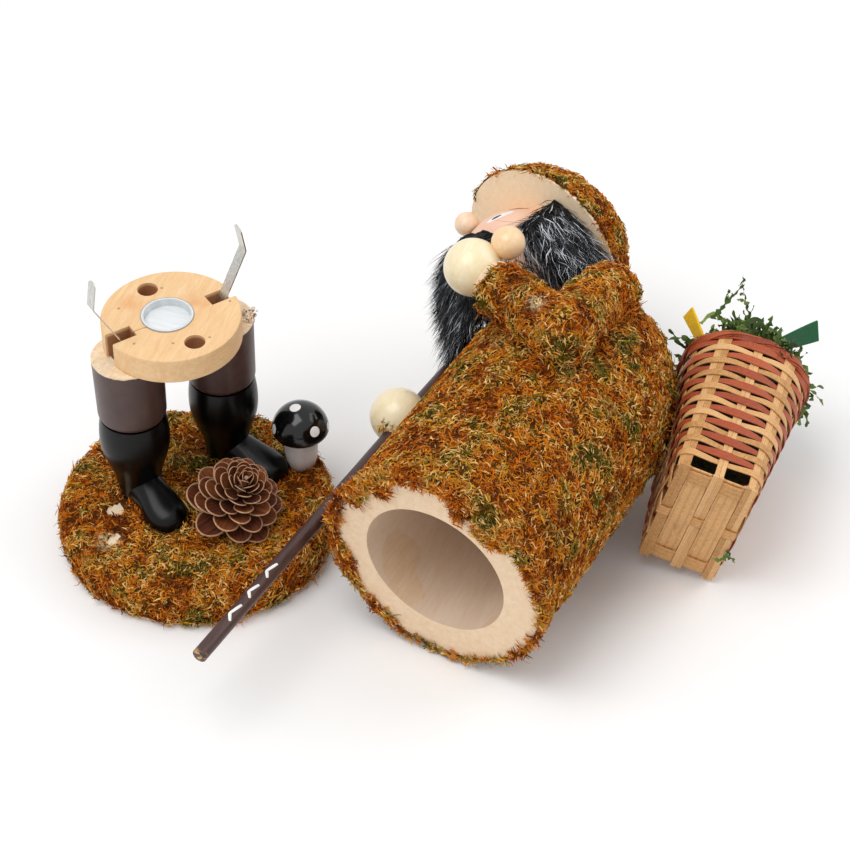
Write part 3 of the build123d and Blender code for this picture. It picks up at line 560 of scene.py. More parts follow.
# ragged patches on the coat's end face and edge, and crumbs where the stick is held
def growTufts(strandPaint):
    rng = np.random.default_rng(48)
    bearing = rng.uniform(-180, 180, mossLook["tuftCount"])
    inner, outer = mossLook["tuftRing"]
    reach = np.sqrt(rng.uniform(inner ** 2, outer ** 2, mossLook["tuftCount"]))
    depth = 0.5 + 0.5 * np.sin(np.radians(bearing * 9)) * np.sin(np.radians(bearing * 4 + 40))
    depth -= 0.9 * arcFade(bearing, *mossLook["clean"])
    for middle, half, deep in mossLook["tufts"]:
        depth = np.maximum(depth, deep * arcFade(bearing, middle, half, 4))
    keep = reach > mossLook["tuftEdge"] - depth * rng.uniform(0.8, 1.1, len(depth))
    face = figureFoot + reach[keep][:, None] * outward(np.radians(bearing[keep]))
    face = face - figureUp * rng.uniform(0.0, mossLook["tuftSink"], len(face))[:, None]
    out = outward(np.radians(rng.uniform(*mossLook["edgeArc"], mossLook["edgeCount"])))
    edge = figureFoot + out * mossLook["edgeRadius"]
    edge = edge + figureUp * rng.uniform(*mossLook["edgeHeight"], (len(out), 1))
    spot, radius = balls["right_hand"]
    fromHand = unit(np.array(mossLook["crumbWay"]) + rng.normal(0, 0.1, (mossLook["crumbCount"], 3)))
    short = mossLook["strand"] | {"length": mossLook["crumbLength"]}
    for name, roots, normals, look, seed in (
            ("coat_end_tufts", face, repeated(-figureUp, face), mossLook["strand"], 49),
            ("coat_edge_tufts", edge, unit(out - figureUp * 0.7), mossLook["strand"], 51),
            ("hand_crumbs", spot + fromHand * radius, fromHand, short, 50)):
        growStrands(name, roots, normals, look, strandPaint, "upper_half", seed)
    print("tufts set on the end face", len(face))


makeMoss()


# black fur of the hair and beard
furLook = {
    "bed": {"voxel": 1.5, "lump": 9.0, "push": 0.8, "inset": 0.7},
    "hair": {"length": (8, 17), "width": (0.24, 0.5), "lift": (0.02, 0.26), "hump": (0.0, 0.14), "bend": 0.2,
             "roll": 0.6, "steps": 4, "sink": 0.6, "taper": ((0, 0.6, 1), (1, 0.8, 0.1)), "stray": 0.42,
             "droop": 0.1},
    "beard": {"length": (7, 15), "width": (0.24, 0.5), "lift": (-0.08, 0.1), "hump": (0.0, 0.08), "bend": 0.16,
              "roll": 0.6, "steps": 5, "sink": 0.8, "taper": ((0, 0.6, 1), (1, 0.8, 0.1)), "stray": 0.3,
              "droop": 0.25},
    "hairCount": 10000, "beardCount": 9000, "browCount": 1500, "reach": 1.5,
    "hairWhite": -0.18, "beardWhite": -0.3,  # more is whiter
    "chin": 9.0, "beardTop": 24.0, "beardLength": 38.0, "beardNarrow": 0.85, "beardRise": 6.0,
}


def narrowBeard(bed):  # the lower beard lies back against the coat
    points, _ = meshArrays(bed.data)
    down = np.clip((-(points - headMiddle) @ figureUp - furLook["chin"]) / furLook["beardLength"], 0, 1)
    ahead = -(points - headMiddle) @ figureBack
    ahead = ahead - ahead.min()
    points += figureBack * (ahead * furLook["beardNarrow"] * down ** 1.2)[:, None]
    points += figureUp * (furLook["beardRise"] * down)[:, None]
    setPoints(bed.data, points)


def browRoots(rng):  # some hair grows on the bare head in front of the wig
    roots, normals = scatter(nodes["head"].data, rng, furLook["browCount"] * 6)
    behind = (roots - hat["middle"]) @ figureBack
    low = (roots - hat["middle"]) @ hatUp
    wig = (behind > -2.5 + 0.6 * np.minimum(low + 12, 0)) & (low < -7.0) & (normals @ figureUp < 0.5)
    return roots[wig][:furLook["browCount"]], normals[wig][:furLook["browCount"]]


def makeFur():
    b = Finish("furBed")
    bedPaint = b.wear(baseColor=b.ramp(b.noise(500, 4), (0.3, "010101"), (0.8, "101012")), roughness=0.8,
                      specularIORLevel=0.2, normal=b.bump(b.noise(800, 3), 0.6, 0.0006))
    tree = blockTree(("coat", "head", "hat", "left_hand", "left_thumb", "coat_moss"))
    keepOff = [(spot, reach + 0.6) for spot, reach in balls.values()]
    for seed, node in enumerate(("hair", "beard")):
        f = Finish(node + "Fur")
        tuft = f.noise(90, 2) * 0.8 - 0.4  # whiter and blacker tufts
        white = f.attribute("tint") + f.attribute("reach") * 0.3 + tuft + furLook[node + "White"]
        shade = f.ramp(white, (0.3, "020203"), (0.66, "0b0c0f"), (0.78, "596069"), (0.93, "e3e8ee"))
        furPaint = f.wear(baseColor=shade, roughness=f.noise(300) * 0.2 + 0.35, specularIORLevel=0.35)
        rng = np.random.default_rng(80 + seed)
        bed = bedCopy(node + "_bed", node, bedPaint, furLook["bed"], "upper_half")
        if node == "beard":
            narrowBeard(bed)
        roots, normals = scatter(bed.data, rng, furLook[node + "Count"])
        roots, normals = openRoots(roots, normals, tree, furLook["reach"])
        if node == "hair":
            roots, normals = (np.concatenate(pair) for pair in zip((roots, normals), browRoots(rng)))
            comb = repeated(unit(figureBack * 0.8 - figureUp * 0.5), roots)
            ahead = (comb * normals).sum(1) < -0.4
            comb[ahead] = unit(-figureUp - figureLeft * 0.35)  # the front edge falls straight down
        else:  # the lower beard hangs over to the figure's right as it lies
            down = (hat["middle"] - roots) @ figureUp - furLook["beardTop"]
            down = np.clip(down / furLook["beardLength"], 0, 1)[:, None]
            comb = -figureUp - figureLeft * (0.1 + 0.75 * down) + figureBack * (0.5 * down - 0.2)
        growStrands(node + "_strands", roots, normals, furLook[node], furPaint, "upper_half",
                    90 + seed, unit(comb), keepOff)
        print("fur grown on", node, len(roots), "strands")


makeFur()


# woven pannier
pannier = {"out": 8.0, "back": 72.8, "foot": 86.0, "lean": 13.0, "turn": 5.0, "height": 76.0,
           "bottom": (66.0, 34.3, 5.0), "top": (62.0, 54.0, 25.0),  # width, depth and corner radius
           "stakes": (0.0, 0.08, 0.165, 0.25, 0.335, 0.42, 0.5, 0.58, 0.665, 0.75, 0.835, 0.92), "girth": 192.0,
           "stakeWidths": (1.8, 2.9), "stakeThick": 0.6, "stakeInset": 0.45, "stakePast": 1.5, "stakeGap": 0.53,
           "firstRow": 8.0, "rows": 9, "rowPitch": 7.6, "rowThick": 0.4, "rowInset": 0.6, "sway": 0.6,
           "paleWidth": (2.6, 0.4), "redWidth": (3.0, -0.9),  # width and how much it swells on a broad stake
           # place and width of the bottom's strips, and whether a strip is a double stake
           "lengthwise": ((-13.8, 4.6, True), (0.0, 4.6, True), (13.8, 4.6, True), (-6.9, 8.8, False),
                          (6.9, 8.8, False)),
           "crosswise": ((-26.5, 7.0), (0.0, 4.6), (26.5, 7.0)), "plaitThick": 0.7, "plaitLift": 0.9,
           "plaitInset": 0.6, "panelHalf": 31.0,
           "rimTurns": 4, "rimStrands": 3, "rimStrip": (2.8, 0.45),  # width and thickness
           "rimBands": ((-1.5, 0.35), (-0.1, 0.65)), "bandStrip": (3.8, 0.45)}
leanAlong, leanAcross = turn(pannier["lean"])
turnAlong, turnAcross = turn(pannier["turn"])
pannierLeft = turnAlong * figureLeft - turnAcross * leanAlong * figureBack - turnAcross * leanAcross * figureUp
pannierUp = leanAlong * figureUp - leanAcross * figureBack
pannierLeft = unit(pannierLeft - (pannierLeft @ pannierUp) * pannierUp)
pannierBack = np.cross(pannierUp, pannierLeft)
pannierFoot = onFigure(pannier["out"], pannier["back"], pannier["foot"])


def onPannier(places):  # left, back, up in the basket's own frame
    places = np.asarray(places, float)
    across = places[..., :1] * pannierLeft + places[..., 1:2] * pannierBack
    return pannierFoot + across + places[..., 2:3] * pannierUp


def level(places, height=0.0):  # places in plan, set at a height
    return np.column_stack((places, np.broadcast_to(height, len(places))))


def pannierRing(height, shares):  # outline points and outward directions at a height, shares of the way round
    part = height / pannier["height"]
    wide, deep, corner = (a + (b - a) * part for a, b in zip(pannier["bottom"], pannier["top"]))
    x, y = wide / 2, deep / 2
    straightY, straightX, arc = y - corner, x - corner, corner * math.pi / 2
    quarter = straightY + arc + straightX
    whole = np.asarray(shares) % 1 * 4
    mirrored = np.minimum(whole % 2, 2 - whole % 2) * quarter  # way from the middle of a left or right side
    bend = np.clip((mirrored - straightY) / corner, 0, math.pi / 2)
    px = np.where(mirrored < straightY, x, straightX + corner * np.cos(bend))
    py = np.where(mirrored < straightY, mirrored, straightY + corner * np.sin(bend))
    px = np.where(mirrored > straightY + arc, quarter - mirrored, px)
    flipY, flipX = np.where(whole < 2, 1, -1), np.where((whole > 1) & (whole < 3), -1, 1)
    return np.stack((px * flipX, py * flipY), -1), np.stack((np.cos(bend) * flipX, np.sin(bend) * flipY), -1)


class Strips:  # flat strips with square edges, gathered in one mesh
    def __init__(self):
        self.points, self.faces, self.tints, self.runs = [], [], [], []
        self.count = 0

    def lay(self, path, outs, ups, width, thick, closed, tint):
        half = np.broadcast_to(np.asarray(width, float).reshape(-1, 1), (len(path), 1)) / 2
        low, high = outs * -thick / 2, outs * thick / 2
        ring = np.stack((path + ups * half + high, path - ups * half + high, path - ups * half + low,
                         path + ups * half + low), 1)
        n = len(path)
        last = n if closed else n - 1
        for i in range(last):
            a, b = self.count + 4 * i, self.count + 4 * ((i + 1) % n)
            self.faces += [(a + k, b + k, b + (k + 1) % 4, a + (k + 1) % 4) for k in range(4)]
        if not closed:
            a, b = self.count, self.count + 4 * (n - 1)
            self.faces += [(a, a + 1, a + 2, a + 3), (b + 3, b + 2, b + 1, b)]
        self.points.append(ring.reshape(-1, 3))
        self.tints.append(np.full(4 * n, tint))
        self.runs.append(np.tile((1.0, -1.0, -1.0, 1.0), n))
        self.count += 4 * n

    def make(self, name, finish, body, slot):
        piece = newPiece(name, onPannier(np.concatenate(self.points)), self.faces, finish, body)
        keepShares(piece.data, "tint", np.concatenate(self.tints))
        keepShares(piece.data, "across", np.concatenate(self.runs))
        pick(piece)
        editMesh(bpy.ops.mesh.normals_make_consistent, inside=False)
        bpy.ops.object.shade_smooth_by_angle(angle=math.radians(35))
        return piece


def caneFinish(name, pale, middle, deep):
    f = Finish(name)
    grain = f.noise(1, 3, 0.6, f.stretch((900, 900, 900)))
    shade = f.ramp(f.attribute("tint") * 0.6 + grain * 0.4, (0.25, deep), (0.5, middle), (0.78, pale))
    lines = f.add("ShaderNodeMath", {"operation": "SINE"}, {0: f.attribute("across") * 9 + grain * 5})
    shade = f.mix(f.level(lines, 0.3, 1.0) * 0.28, shade, colour(deep))
    dirt = f.level(f.noise(130, 4), 0.55, 0.75)
    shade = f.mix(dirt * 0.2, shade, colour(deep))
    return f.wear(baseColor=shade, roughness=grain * 0.2 + 0.38, specularIORLevel=0.35,
                  normal=f.bump(lines * 0.4 + grain, 0.25, 0.0002))


def makePannier():
    rng = np.random.default_rng(7)
    pale = caneFinish("paleCane", "eebf87", "d5a064", "8e5f2b")
    red = caneFinish("redCane", "c0623a", "a4492a", "642311")
    stakes, natural, stained = Strips(), Strips(), Strips()
    heights = np.linspace(0.8, pannier["height"] + pannier["stakePast"], 24)
    for number, share in enumerate(pannier["stakes"]):
        wide = pannier["stakeWidths"][number % 2]
        for side in (-1, 1):  # two strips side by side
            place = share + side * pannier["stakeGap"] * wide / pannier["girth"]
            rings = [pannierRing(min(h, pannier["height"]), place) for h in heights]
            outs = level(np.array([out for _, out in rings]))
            path = level(np.array([spot for spot, _ in rings]), heights)
            path = path - outs * (pannier["rowThick"] + pannier["stakeInset"])
            ups = np.stack((-outs[:, 1], outs[:, 0], outs[:, 2]), 1)
            stakes.lay(path, outs, ups, wide, pannier["stakeThick"], False, rng.uniform(0.35, 0.9))
    around = np.linspace(0, 1, 289)[:-1]
    order = np.interp(around, pannier["stakes"] + (1.0,), np.arange(len(pannier["stakes"]) + 1))
    atStake = -np.cos(math.pi * order)  # 1 on a broad stake, -1 on a narrow one
    for row in range(pannier["rows"] * 2):
        height = pannier["firstRow"] + row * pannier["rowPitch"] / 2
        over = row % 2 == 0  # pale rows pass outside the broad stakes, red ones outside the narrow ones
        spot, out = pannierRing(height, around)
        sway = pannier["sway"] * atStake * (1 if over else -1)
        wobble = 0.2 * np.sin(2 * math.pi * (around * 5 + rng.random())) + 0.12 * rng.normal(size=1)
        path = level(spot + out * (sway - pannier["rowInset"])[:, None], height + wobble)
        wide, swell = pannier["paleWidth" if over else "redWidth"]
        (natural if over else stained).lay(path, level(out), repeated((0.0, 0, 1), out), wide + swell * atStake,
                                           pannier["rowThick"], True, rng.uniform(0.3, 0.9))
    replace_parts(stakes.make("pannier_stakes", pale, "upper_half", "bamboo"), "basket_wall")
    natural.make("pannier_pale_rows", pale, "upper_half", "bamboo")
    stained.make("pannier_red_rows", red, "upper_half", "red_bamboo")
    makePlaitedBottom(pale, rng)
    makeTwistedRim(red, rng)
    print("pannier woven")


def plaitSway(run, strips, heights):  # how far a strip rises over or dips under those that it crosses
    return sum(height * np.exp(-((run - at) / span) ** 4) for (at, span), height in zip(strips, heights))


def makePlaitedBottom(pale, rng):
    plait = Strips()
    wide, deep, _ = pannier["bottom"]
    down, thick, lift = (0.0, 0, -1), pannier["plaitThick"], pannier["plaitLift"]
    for spot, width, stake in pannier["lengthwise"]:
        half = wide / 2 - pannier["plaitInset"] if stake else pannier["panelHalf"]
        run = np.linspace(-half, half, 45 if stake else 37)
        sway = plaitSway(run, pannier["crosswise"],
                         [0.6 if (number == 1) == stake else -0.6 for number in range(3)])
        path = np.column_stack((run, np.full(len(run), spot), lift + sway))
        for part in ((-0.25, 0.25) if stake else (0,)):  # a stake is two strips side by side
            plait.lay(path + (0, part * width, 0), repeated(down, run), repeated((0.0, 1, 0), run),
                      width * (0.49 if stake else 1), thick, False, rng.uniform(0.3, 0.85))
    for number, (spot, width) in enumerate(pannier["crosswise"]):
        half = deep / 2 - pannier["plaitInset"]
        run = np.linspace(-half, half, 33)
        sway = plaitSway(run, [(at, span * 0.55) for at, span, _ in pannier["lengthwise"]],
                         [-0.55 if (number == 1) == stake else 0.55 for _, _, stake in pannier["lengthwise"]])
        path = np.column_stack((np.full(len(run), spot), run, lift + sway))
        plait.lay(path, repeated(down, run), repeated((1.0, 0, 0), run), width, thick, False,
                  rng.uniform(0.35, 0.8))
    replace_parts(plait.make("pannier_bottom_plait", pale, "upper_half", "bamboo"), "basket_bottom")


def makeTwistedRim(red, rng):
    rim = Strips()
    strands = pannier["rimStrands"]
    around = np.linspace(0, 1, 361)[:-1]
    spot, out = pannierRing(pannier["height"], around)
    for strand in range(strands):
        angle = 2 * math.pi * (pannier["rimTurns"] * around + strand / strands)
        angle = angle + 0.5 * np.sin(2 * math.pi * (3 * around + strand * 0.4))  # not quite even
        path = level(spot + out * (0.8 * np.cos(angle) - 0.3)[:, None],
                     pannier["height"] + 0.4 + 1.45 * np.sin(angle))
        face = level(out * (0.55 + np.cos(angle))[:, None], np.sin(angle) * 0.5)
        run = np.roll(path, -1, 0) - np.roll(path, 1, 0)
        outs = unit(face - (face * unit(run)).sum(1)[:, None] * unit(run))
        rim.lay(path, outs, unit(np.cross(outs, run)), *pannier["rimStrip"], True, rng.uniform(0.3, 0.85))
    for reach, tint in pannier["rimBands"]:  # flat bands inside the twist
        path = level(spot + out * reach, pannier["height"] + 0.2)
        rim.lay(path, level(out), repeated((0.0, 0, 1), out), *pannier["bandStrip"], True, tint)
    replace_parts(rim.make("pannier_rim_twist", red, "upper_half", "red_bamboo"), "basket_rim")


makePannier()


# green curly moss in the pannier
greenLook = {
    "bed": {"voxel": 1.6, "lump": 7.0, "push": 1.8, "inset": 1.2},
    "count": 620, "steps": (7, 13), "pace": (0.7, 1.1), "size": (2.4, 4.2), "bend": (0.1, 0.45),
    "spread": 6000, "edge": 0.5,
    # longer sprigs: place in the pannier's frame, heading, steps, pace, size and bend
    "sprigs": (((21.5, -21.9, 87.0), (2.5, 6.5, 23.0), 23, 1.05, 2.6, 0.0),
               ((22.4, -4.5, 89.0), (1.6, -10.9, 21.0), 23, 1.05, 2.6, 0.0),
               ((20.0, -16.0, 88.0), (0.2, -0.5, 1.0), 14, 1.1, 3.8, 0.2),
               ((24.0, -8.0, 88.0), (0.4, 0.3, 1.0), 13, 1.1, 3.8, 0.22),
               ((14.0, 24.0, 76.0), (0.5, 1.0, -0.2), 13, 1.0, 3.2, 0.16),
               ((-2.0, 24.0, 78.0), (0.2, 1.0, 0.1), 11, 1.1, 3.2, 0.2),
               ((10.0, -25.0, 77.0), (-0.1, -1.0, 0.1), 12, 1.1, 3.2, 0.07),
               ((14.0, -25.0, 77.0), (-0.1, -1.0, 0.3), 12, 1.1, 3.0, 0.12),
               ((26.0, 10.0, 80.0), (0.8, 0.4, 0.6), 13, 1.0, 3.4, 0.2),
               ((27.0, 0.0, 82.0), (0.8, 0.0, 0.7), 12, 1.0, 3.6, 0.25)),
    "tall": 20, "shootsAt": (0.3, 0.5, 0.7, 0.9), "shoot": (7, 0.75, 2.4, 0.3),  # side shoots of the tall ones
    # a small sprig caught at the bottom's edge
    "stray": (-10.5, 16.6, -0.8), "strayShoot": (9, 0.85, 3.2, 0.3),
}


def makeGreenMoss():
    f = Finish("curlyMoss")
    shade = f.ramp(f.attribute("tint") * 0.7 + f.noise(170, 3) * 0.3, (0.15, "1f2c0c"), (0.35, "40561f"),
                   (0.55, "617a37"), (0.78, "9cae66"))
    paint = f.wear(baseColor=shade, roughness=f.noise(400) * 0.2 + 0.55, specularIORLevel=0.25,
                   normal=f.bump(f.noise(900, 2), 0.4, 0.0004))
    b = Finish("curlyMossBed")
    bedPaint = b.wear(baseColor=b.ramp(b.noise(300, 4), (0.3, "0b1206"), (0.7, "2c3a18")), roughness=0.8,
                      normal=b.bump(b.noise(600, 3), 0.6, 0.001))
    rng = np.random.default_rng(21)
    bed = bedCopy("pannier_moss_bed", "basket_moss", bedPaint, greenLook["bed"], "upper_half")
    roots, normals = scatter(bed.data, rng, greenLook["spread"])
    top = (roots - pannierFoot) @ pannierUp > pannier["height"] + greenLook["edge"]
    chains = []
    for root, normal in zip(roots[top][:greenLook["count"]], normals[top][:greenLook["count"]]):
        heading = unit(normal * 0.8 + 0.2 * pannierUp + rng.normal(0, 0.7, 3))
        steps = int(rng.integers(*greenLook["steps"]))
        chains.append((root - normal * 0.8, heading, steps,
                       *(rng.uniform(*greenLook[key]) for key in ("pace", "size", "bend"))))
    for place, way, steps, pace, size, bend in greenLook["sprigs"]:
        heading = unit(way[0] * pannierLeft + way[1] * pannierBack + way[2] * pannierUp)
        chains.append((onPannier(place), heading, steps, pace, size, bend))
        for part in greenLook["shootsAt"] if steps > greenLook["tall"] else ():
            chains.append((onPannier(place) + heading * steps * pace * part,
                           unit(heading + rng.normal(0, 0.8, 3)), *greenLook["shoot"]))
    for way in (pannierBack, -pannierLeft, pannierUp):
        chains.append((onPannier(greenLook["stray"]), unit(way - pannierUp * 0.3), *greenLook["strayShoot"]))
    curlLeaves(paint, chains, rng)
    print("green moss grown", len(chains), "sprigs")


def curlLeaves(paint, chains, rng):  # chains of small lobed leaves with ruffled edges
    points, faces, tints, count = [], [], [], 0
    for spot, heading, steps, pace, size, bend in chains:
        around = unit(np.cross(heading, rng.normal(size=3)))
        tint, phase = rng.uniform(0.1, 0.95), rng.uniform(0, 3)
        for step in range(steps + 1):
            side = unit(np.cross(heading, around))
            swell = 0.35 + 0.65 * abs(math.sin(math.pi * (step + phase) / 3.4))
            near, far = size * swell * (1 - 0.45 * step / steps) * rng.uniform(0.2, 0.75, 2)
            ruffle = around * size * 0.2 * math.cos(step * 1.3 + phase)
            points += [spot + side * near + ruffle, spot, spot - side * far - ruffle * rng.uniform(0, 1)]
            tints += [tint * (0.65 + 0.35 * step / steps)] * 3
            if step < steps:
                a = count + 3 * step
                faces += [(a, a + 1, a + 4, a + 3), (a + 1, a + 2, a + 5, a + 4)]
            spot = spot + heading * pace
            heading = unit(heading + np.cross(around, heading) * bend + rng.normal(0, 0.03 + 0.3 * bend, 3))
            around = unit(around - (around @ heading) * heading + rng.normal(0, 0.1, 3))
        count += 3 * (steps + 1)
    piece = newPiece("pannier_moss_sprigs", points, faces, paint, "upper_half", True)
    keepShares(piece.data, "tint", np.clip(tints, 0, 1))


makeGreenMoss()


# felt slips: where each starts, folds and ends in the pannier's frame
feltLook = {
    "yellow_felt": {"code": "ffd21a", "deep": "e3aa00", "width": 6.6, "twist": 22, "thick": 1.1,
                    "path": ((12.0, -14.5, 72.0), (12.0, -22.4, 82.0), (13.4, -31.8, 93.2))},
    "green_felt": {"code": "0a6337", "deep": "034020", "width": 9.6, "twist": -34, "thick": 1.1,
                   "path": ((2.0, 2.0, 82.0), (2.0, 9.2, 104.0), (2.0, 23.9, 120.2))},
}


def makeFelt():
    for node, look in feltLook.items():
        f = Finish(node)
        fuzz = f.noise(1600, 4, 0.7)
        paint = f.wear(baseColor=f.ramp(fuzz, (0.3, look["deep"]), (0.62, look["code"])), roughness=0.85,
                       sheenWeight=0.3, specularIORLevel=0.2, normal=f.bump(fuzz, 0.5, 0.0003))
        slip = Strips()
        first, middle, last = (np.array(p) for p in look["path"])
        share = np.linspace(0, 1, 25)[:, None]
        fold = np.minimum(2 * share, 2 - 2 * share)
        path = first * (1 - share) + last * share + (middle - (first + last) / 2) * fold
        run = unit(np.gradient(path, axis=0))
        flat = repeated((1.0, 0, 0), path)
        outs = unit(np.cross(run, flat))
        angle = np.radians(look["twist"]) * np.clip(share * 2 - 1, 0, 1)
        ups = flat * np.cos(angle) + outs * np.sin(angle)
        slip.lay(path, unit(np.cross(run, ups)), ups, look["width"], look["thick"], False, 0.5)
        piece = slip.make(node + "_slip", paint, "upper_half", node)
        bevel = piece.modifiers.new("bevel", "BEVEL")
        bevel.width, bevel.segments, bevel.limit_method = 0.3 * mm, 2, "ANGLE"
        applyAll(piece)
        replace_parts(piece, node)
    print("felt slips cut")


makeFelt()


# pine cone with spooned scales
cone = {"at": (-5.6, -17.4, 20.0), "lean": 24.0, "towards": -122.0, "radius": 7.0, "height": 33.0, "count": 58,
        "length": 16.8, "width": 12.8, "thick": 0.9, "tipShare": 0.3, "firstLift": 2.0, "lastLift": 64.0,
        "core": {"radius1": 0.0058, "radius2": 0.0009, "depth": 0.031}, "coreUp": 17.0, "knot": 40.0,
        "round": 0.4}


def makeScale():  # one scale from a flat grid, spooned and thickened
    scale = shaped(bpy.ops.mesh.primitive_grid_add, x_subdivisions=9, y_subdivisions=8, size=2)
    points, _ = meshArrays(scale.data)
    u, v = points[:, 0] * mm / 2 + 0.5, points[:, 1] * mm
    start = cone["round"]  # from here on the outline is round
    front = np.clip((u - start) / (1 - start), 0, 1) * math.radians(85)
    half = np.where(u < start, 0.3 + 0.7 * np.sin(np.clip(u / start, 0, 1) * math.pi / 2), np.cos(front))
    reach = np.where(u < start, u / start * 0.56, 0.56 + 0.44 * np.sin(front))
    rise = 0.12 * reach ** 2.5 + 0.12 * (v * half) ** 2 * reach - 0.05 * np.sin(math.pi * reach)
    setPoints(scale.data, np.column_stack((reach, v * half / 2, rise)) / mm)
    keepShares(scale.data, "edge", np.maximum(np.abs(v) ** 12 * (u > 0.2), np.clip((u - 0.9) / 0.1, 0, 1)))
    keepShares(scale.data, "across", v * half)
    wall = scale.modifiers.new("wall", "SOLIDIFY")
    wall.thickness, wall.offset = cone["thick"] / cone["length"], 0
    smooth = scale.modifiers.new("smooth", "SUBSURF")
    smooth.levels = smooth.render_levels = 1
    applyAll(scale)
    points, corners = meshArrays(scale.data)
    kept = {}
    for name in ("edge", "across"):
        kept[name] = np.empty(len(points), np.float32)
        scale.data.attributes[name].data.foreach_get("value", kept[name])
    bpy.data.objects.remove(scale)
    return points * mm, corners, kept


def makeCone():
    f = Finish("coneScales")
    ribs = f.add("ShaderNodeCombineXYZ", {}, {0: f.attribute("across") * 5, 1: f.attribute("tint") * 60,
                                              2: f.attribute("reach") * 0.6})
    grain = f.noise(1.6, 4, 0.65, ribs)
    shade = f.ramp(grain * 0.7 + f.attribute("tint") * 0.3, (0.3, "3b1a0d"), (0.48, "66341f"), (0.68, "96582f"))
    # painted shade: each scale darker towards its root, down between the scales
    shade = f.mix(f.level(f.attribute("reach"), 0.7, 0.2) * 0.75, shade, colour("1e0d07"))
    rim = f.ramp(grain, (0.3, "b07e5c"), (0.7, "dcb28c"))
    shade = f.mix(f.level(f.attribute("edge"), 0.25, 0.9) * 0.85, shade, rim)
    paint = f.wear(baseColor=shade, roughness=grain * 0.25 + 0.45, specularIORLevel=0.3,
                   normal=f.bump(grain, 0.35, 0.0004))
    one, corners, kept = makeScale()
    run = np.clip(one[:, 0], 0, 1)
    leanX, leanY = turn(cone["towards"])
    tilt = turn(cone["lean"])
    up = np.array((leanX * tilt[1], leanY * tilt[1], tilt[0]))
    left = np.array((-leanY, leanX, 0))
    back = np.cross(up, left)
    rng = np.random.default_rng(5)
    points, faces, tints = [], [], []
    golden = 180 * (3 - math.sqrt(5))
    for index in range(cone["count"]):
        share = index / (cone["count"] - 1)
        ox, oy = turn(index * golden)
        cosLift, sinLift = turn(cone["firstLift"] + (cone["lastLift"] - cone["firstLift"]) * share ** 1.3)
        root = cone["radius"] * (1 - share ** 2) * 0.6
        size = 1 - (1 - cone["tipShare"]) * share
        outward = left * ox + back * oy
        along = unit(outward * cosLift + up * sinLift + rng.normal(0, 0.07, 3))
        above = up * cosLift - outward * sinLift
        above = unit(above - (above @ along) * along)
        across = np.cross(above, along)
        origin = np.array(cone["at"]) + outward * root + up * cone["height"] * (0.2 + 0.72 * share)
        wide = cone["width"] * size * rng.uniform(0.93, 1.07)
        long = cone["length"] * size * rng.uniform(0.95, 1.04)
        points.append(origin + one[:, :1] * long * along + one[:, 1:2] * wide * across
                      + one[:, 2:] * cone["length"] * size * above)
        faces.append(corners + len(one) * index)
        tints.append(np.full(len(one), rng.uniform(0.2, 0.9)))
    piece = newPiece("cone_scales", np.concatenate(points), np.concatenate(faces), paint, "lower_half",
                     True)
    keepShares(piece.data, "tint", np.concatenate(tints))
    for name, shares in (kept | {"reach": run}).items():
        keepShares(piece.data, name, np.tile(shares, cone["count"]))
    core = shaped(bpy.ops.mesh.primitive_cone_add, vertices=20, **cone["core"])
    core.name = "cone_core"
    core.rotation_euler = Vector(up).to_track_quat("Z", "Y").to_euler()
    core.location = Vector((np.array(cone["at"]) + up * cone["coreUp"]) * mm)
    bpy.ops.object.transform_apply(location=True, rotation=True, scale=True)
    core.data.materials.append(paint)
    keepShares(core.data, "edge", meshArrays(core.data)[0][:, 2] > cone["knot"])  # its pale tip
    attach(core, "lower_half")
    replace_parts(piece, "pine_cone")
    print("pine cone set")


makeCone()


# painted eyes and brows, and the white marks on the stick
faceLook = {"eye": (123.91, -92.87, 97.15), "eyeEnd": (128.55, -100.25, 98.16), "brow": (132.0, -99.0, 96.4),
            # half sizes and rise
            "white": ((6.4, 2.1), 0.16), "dark": ((3.0, 1.15), 0.26), "line": ((4.6, 0.5), 0.2),
            "darkBack": 1.4, "cheek": (-4.5, 3.0, -0.5)}


def headPatch(name, out, along, size, finish):  # a painted oval on the head
    half, lift = size
    radius = hat["headRadius"]
    patch = shaped(bpy.ops.mesh.primitive_circle_add, vertices=28, radius=1, fill_type="TRIFAN")
    patch.name = name
    editMesh(bpy.ops.mesh.subdivide, number_cuts=2)
    points, _ = meshArrays(patch.data)
    points = points * mm
    out = unit(out)
    along = unit(along - (along @ out) * out)
    flat = out * radius + along * points[:, :1] * half[0] + np.cross(out, along) * points[:, 1:2] * half[1]
    rise = lift * (1 - 0.8 * (points[:, :1] ** 2 + points[:, 1:2] ** 2))
    setPoints(patch.data, headMiddle + unit(flat) * (radius + rise))
    patch.data.materials.append(finish)
    patch.data.polygons.foreach_set("use_smooth", np.ones(len(patch.data.polygons), bool))
    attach(patch, "upper_half")


def plainPaint(name, deep, pale, rough):
    f = Finish(name)
    mottle = f.noise(260, 4)
    return f.wear(baseColor=f.ramp(mottle, (0.3, deep), (0.7, pale)), roughness=mottle * 0.15 + rough)


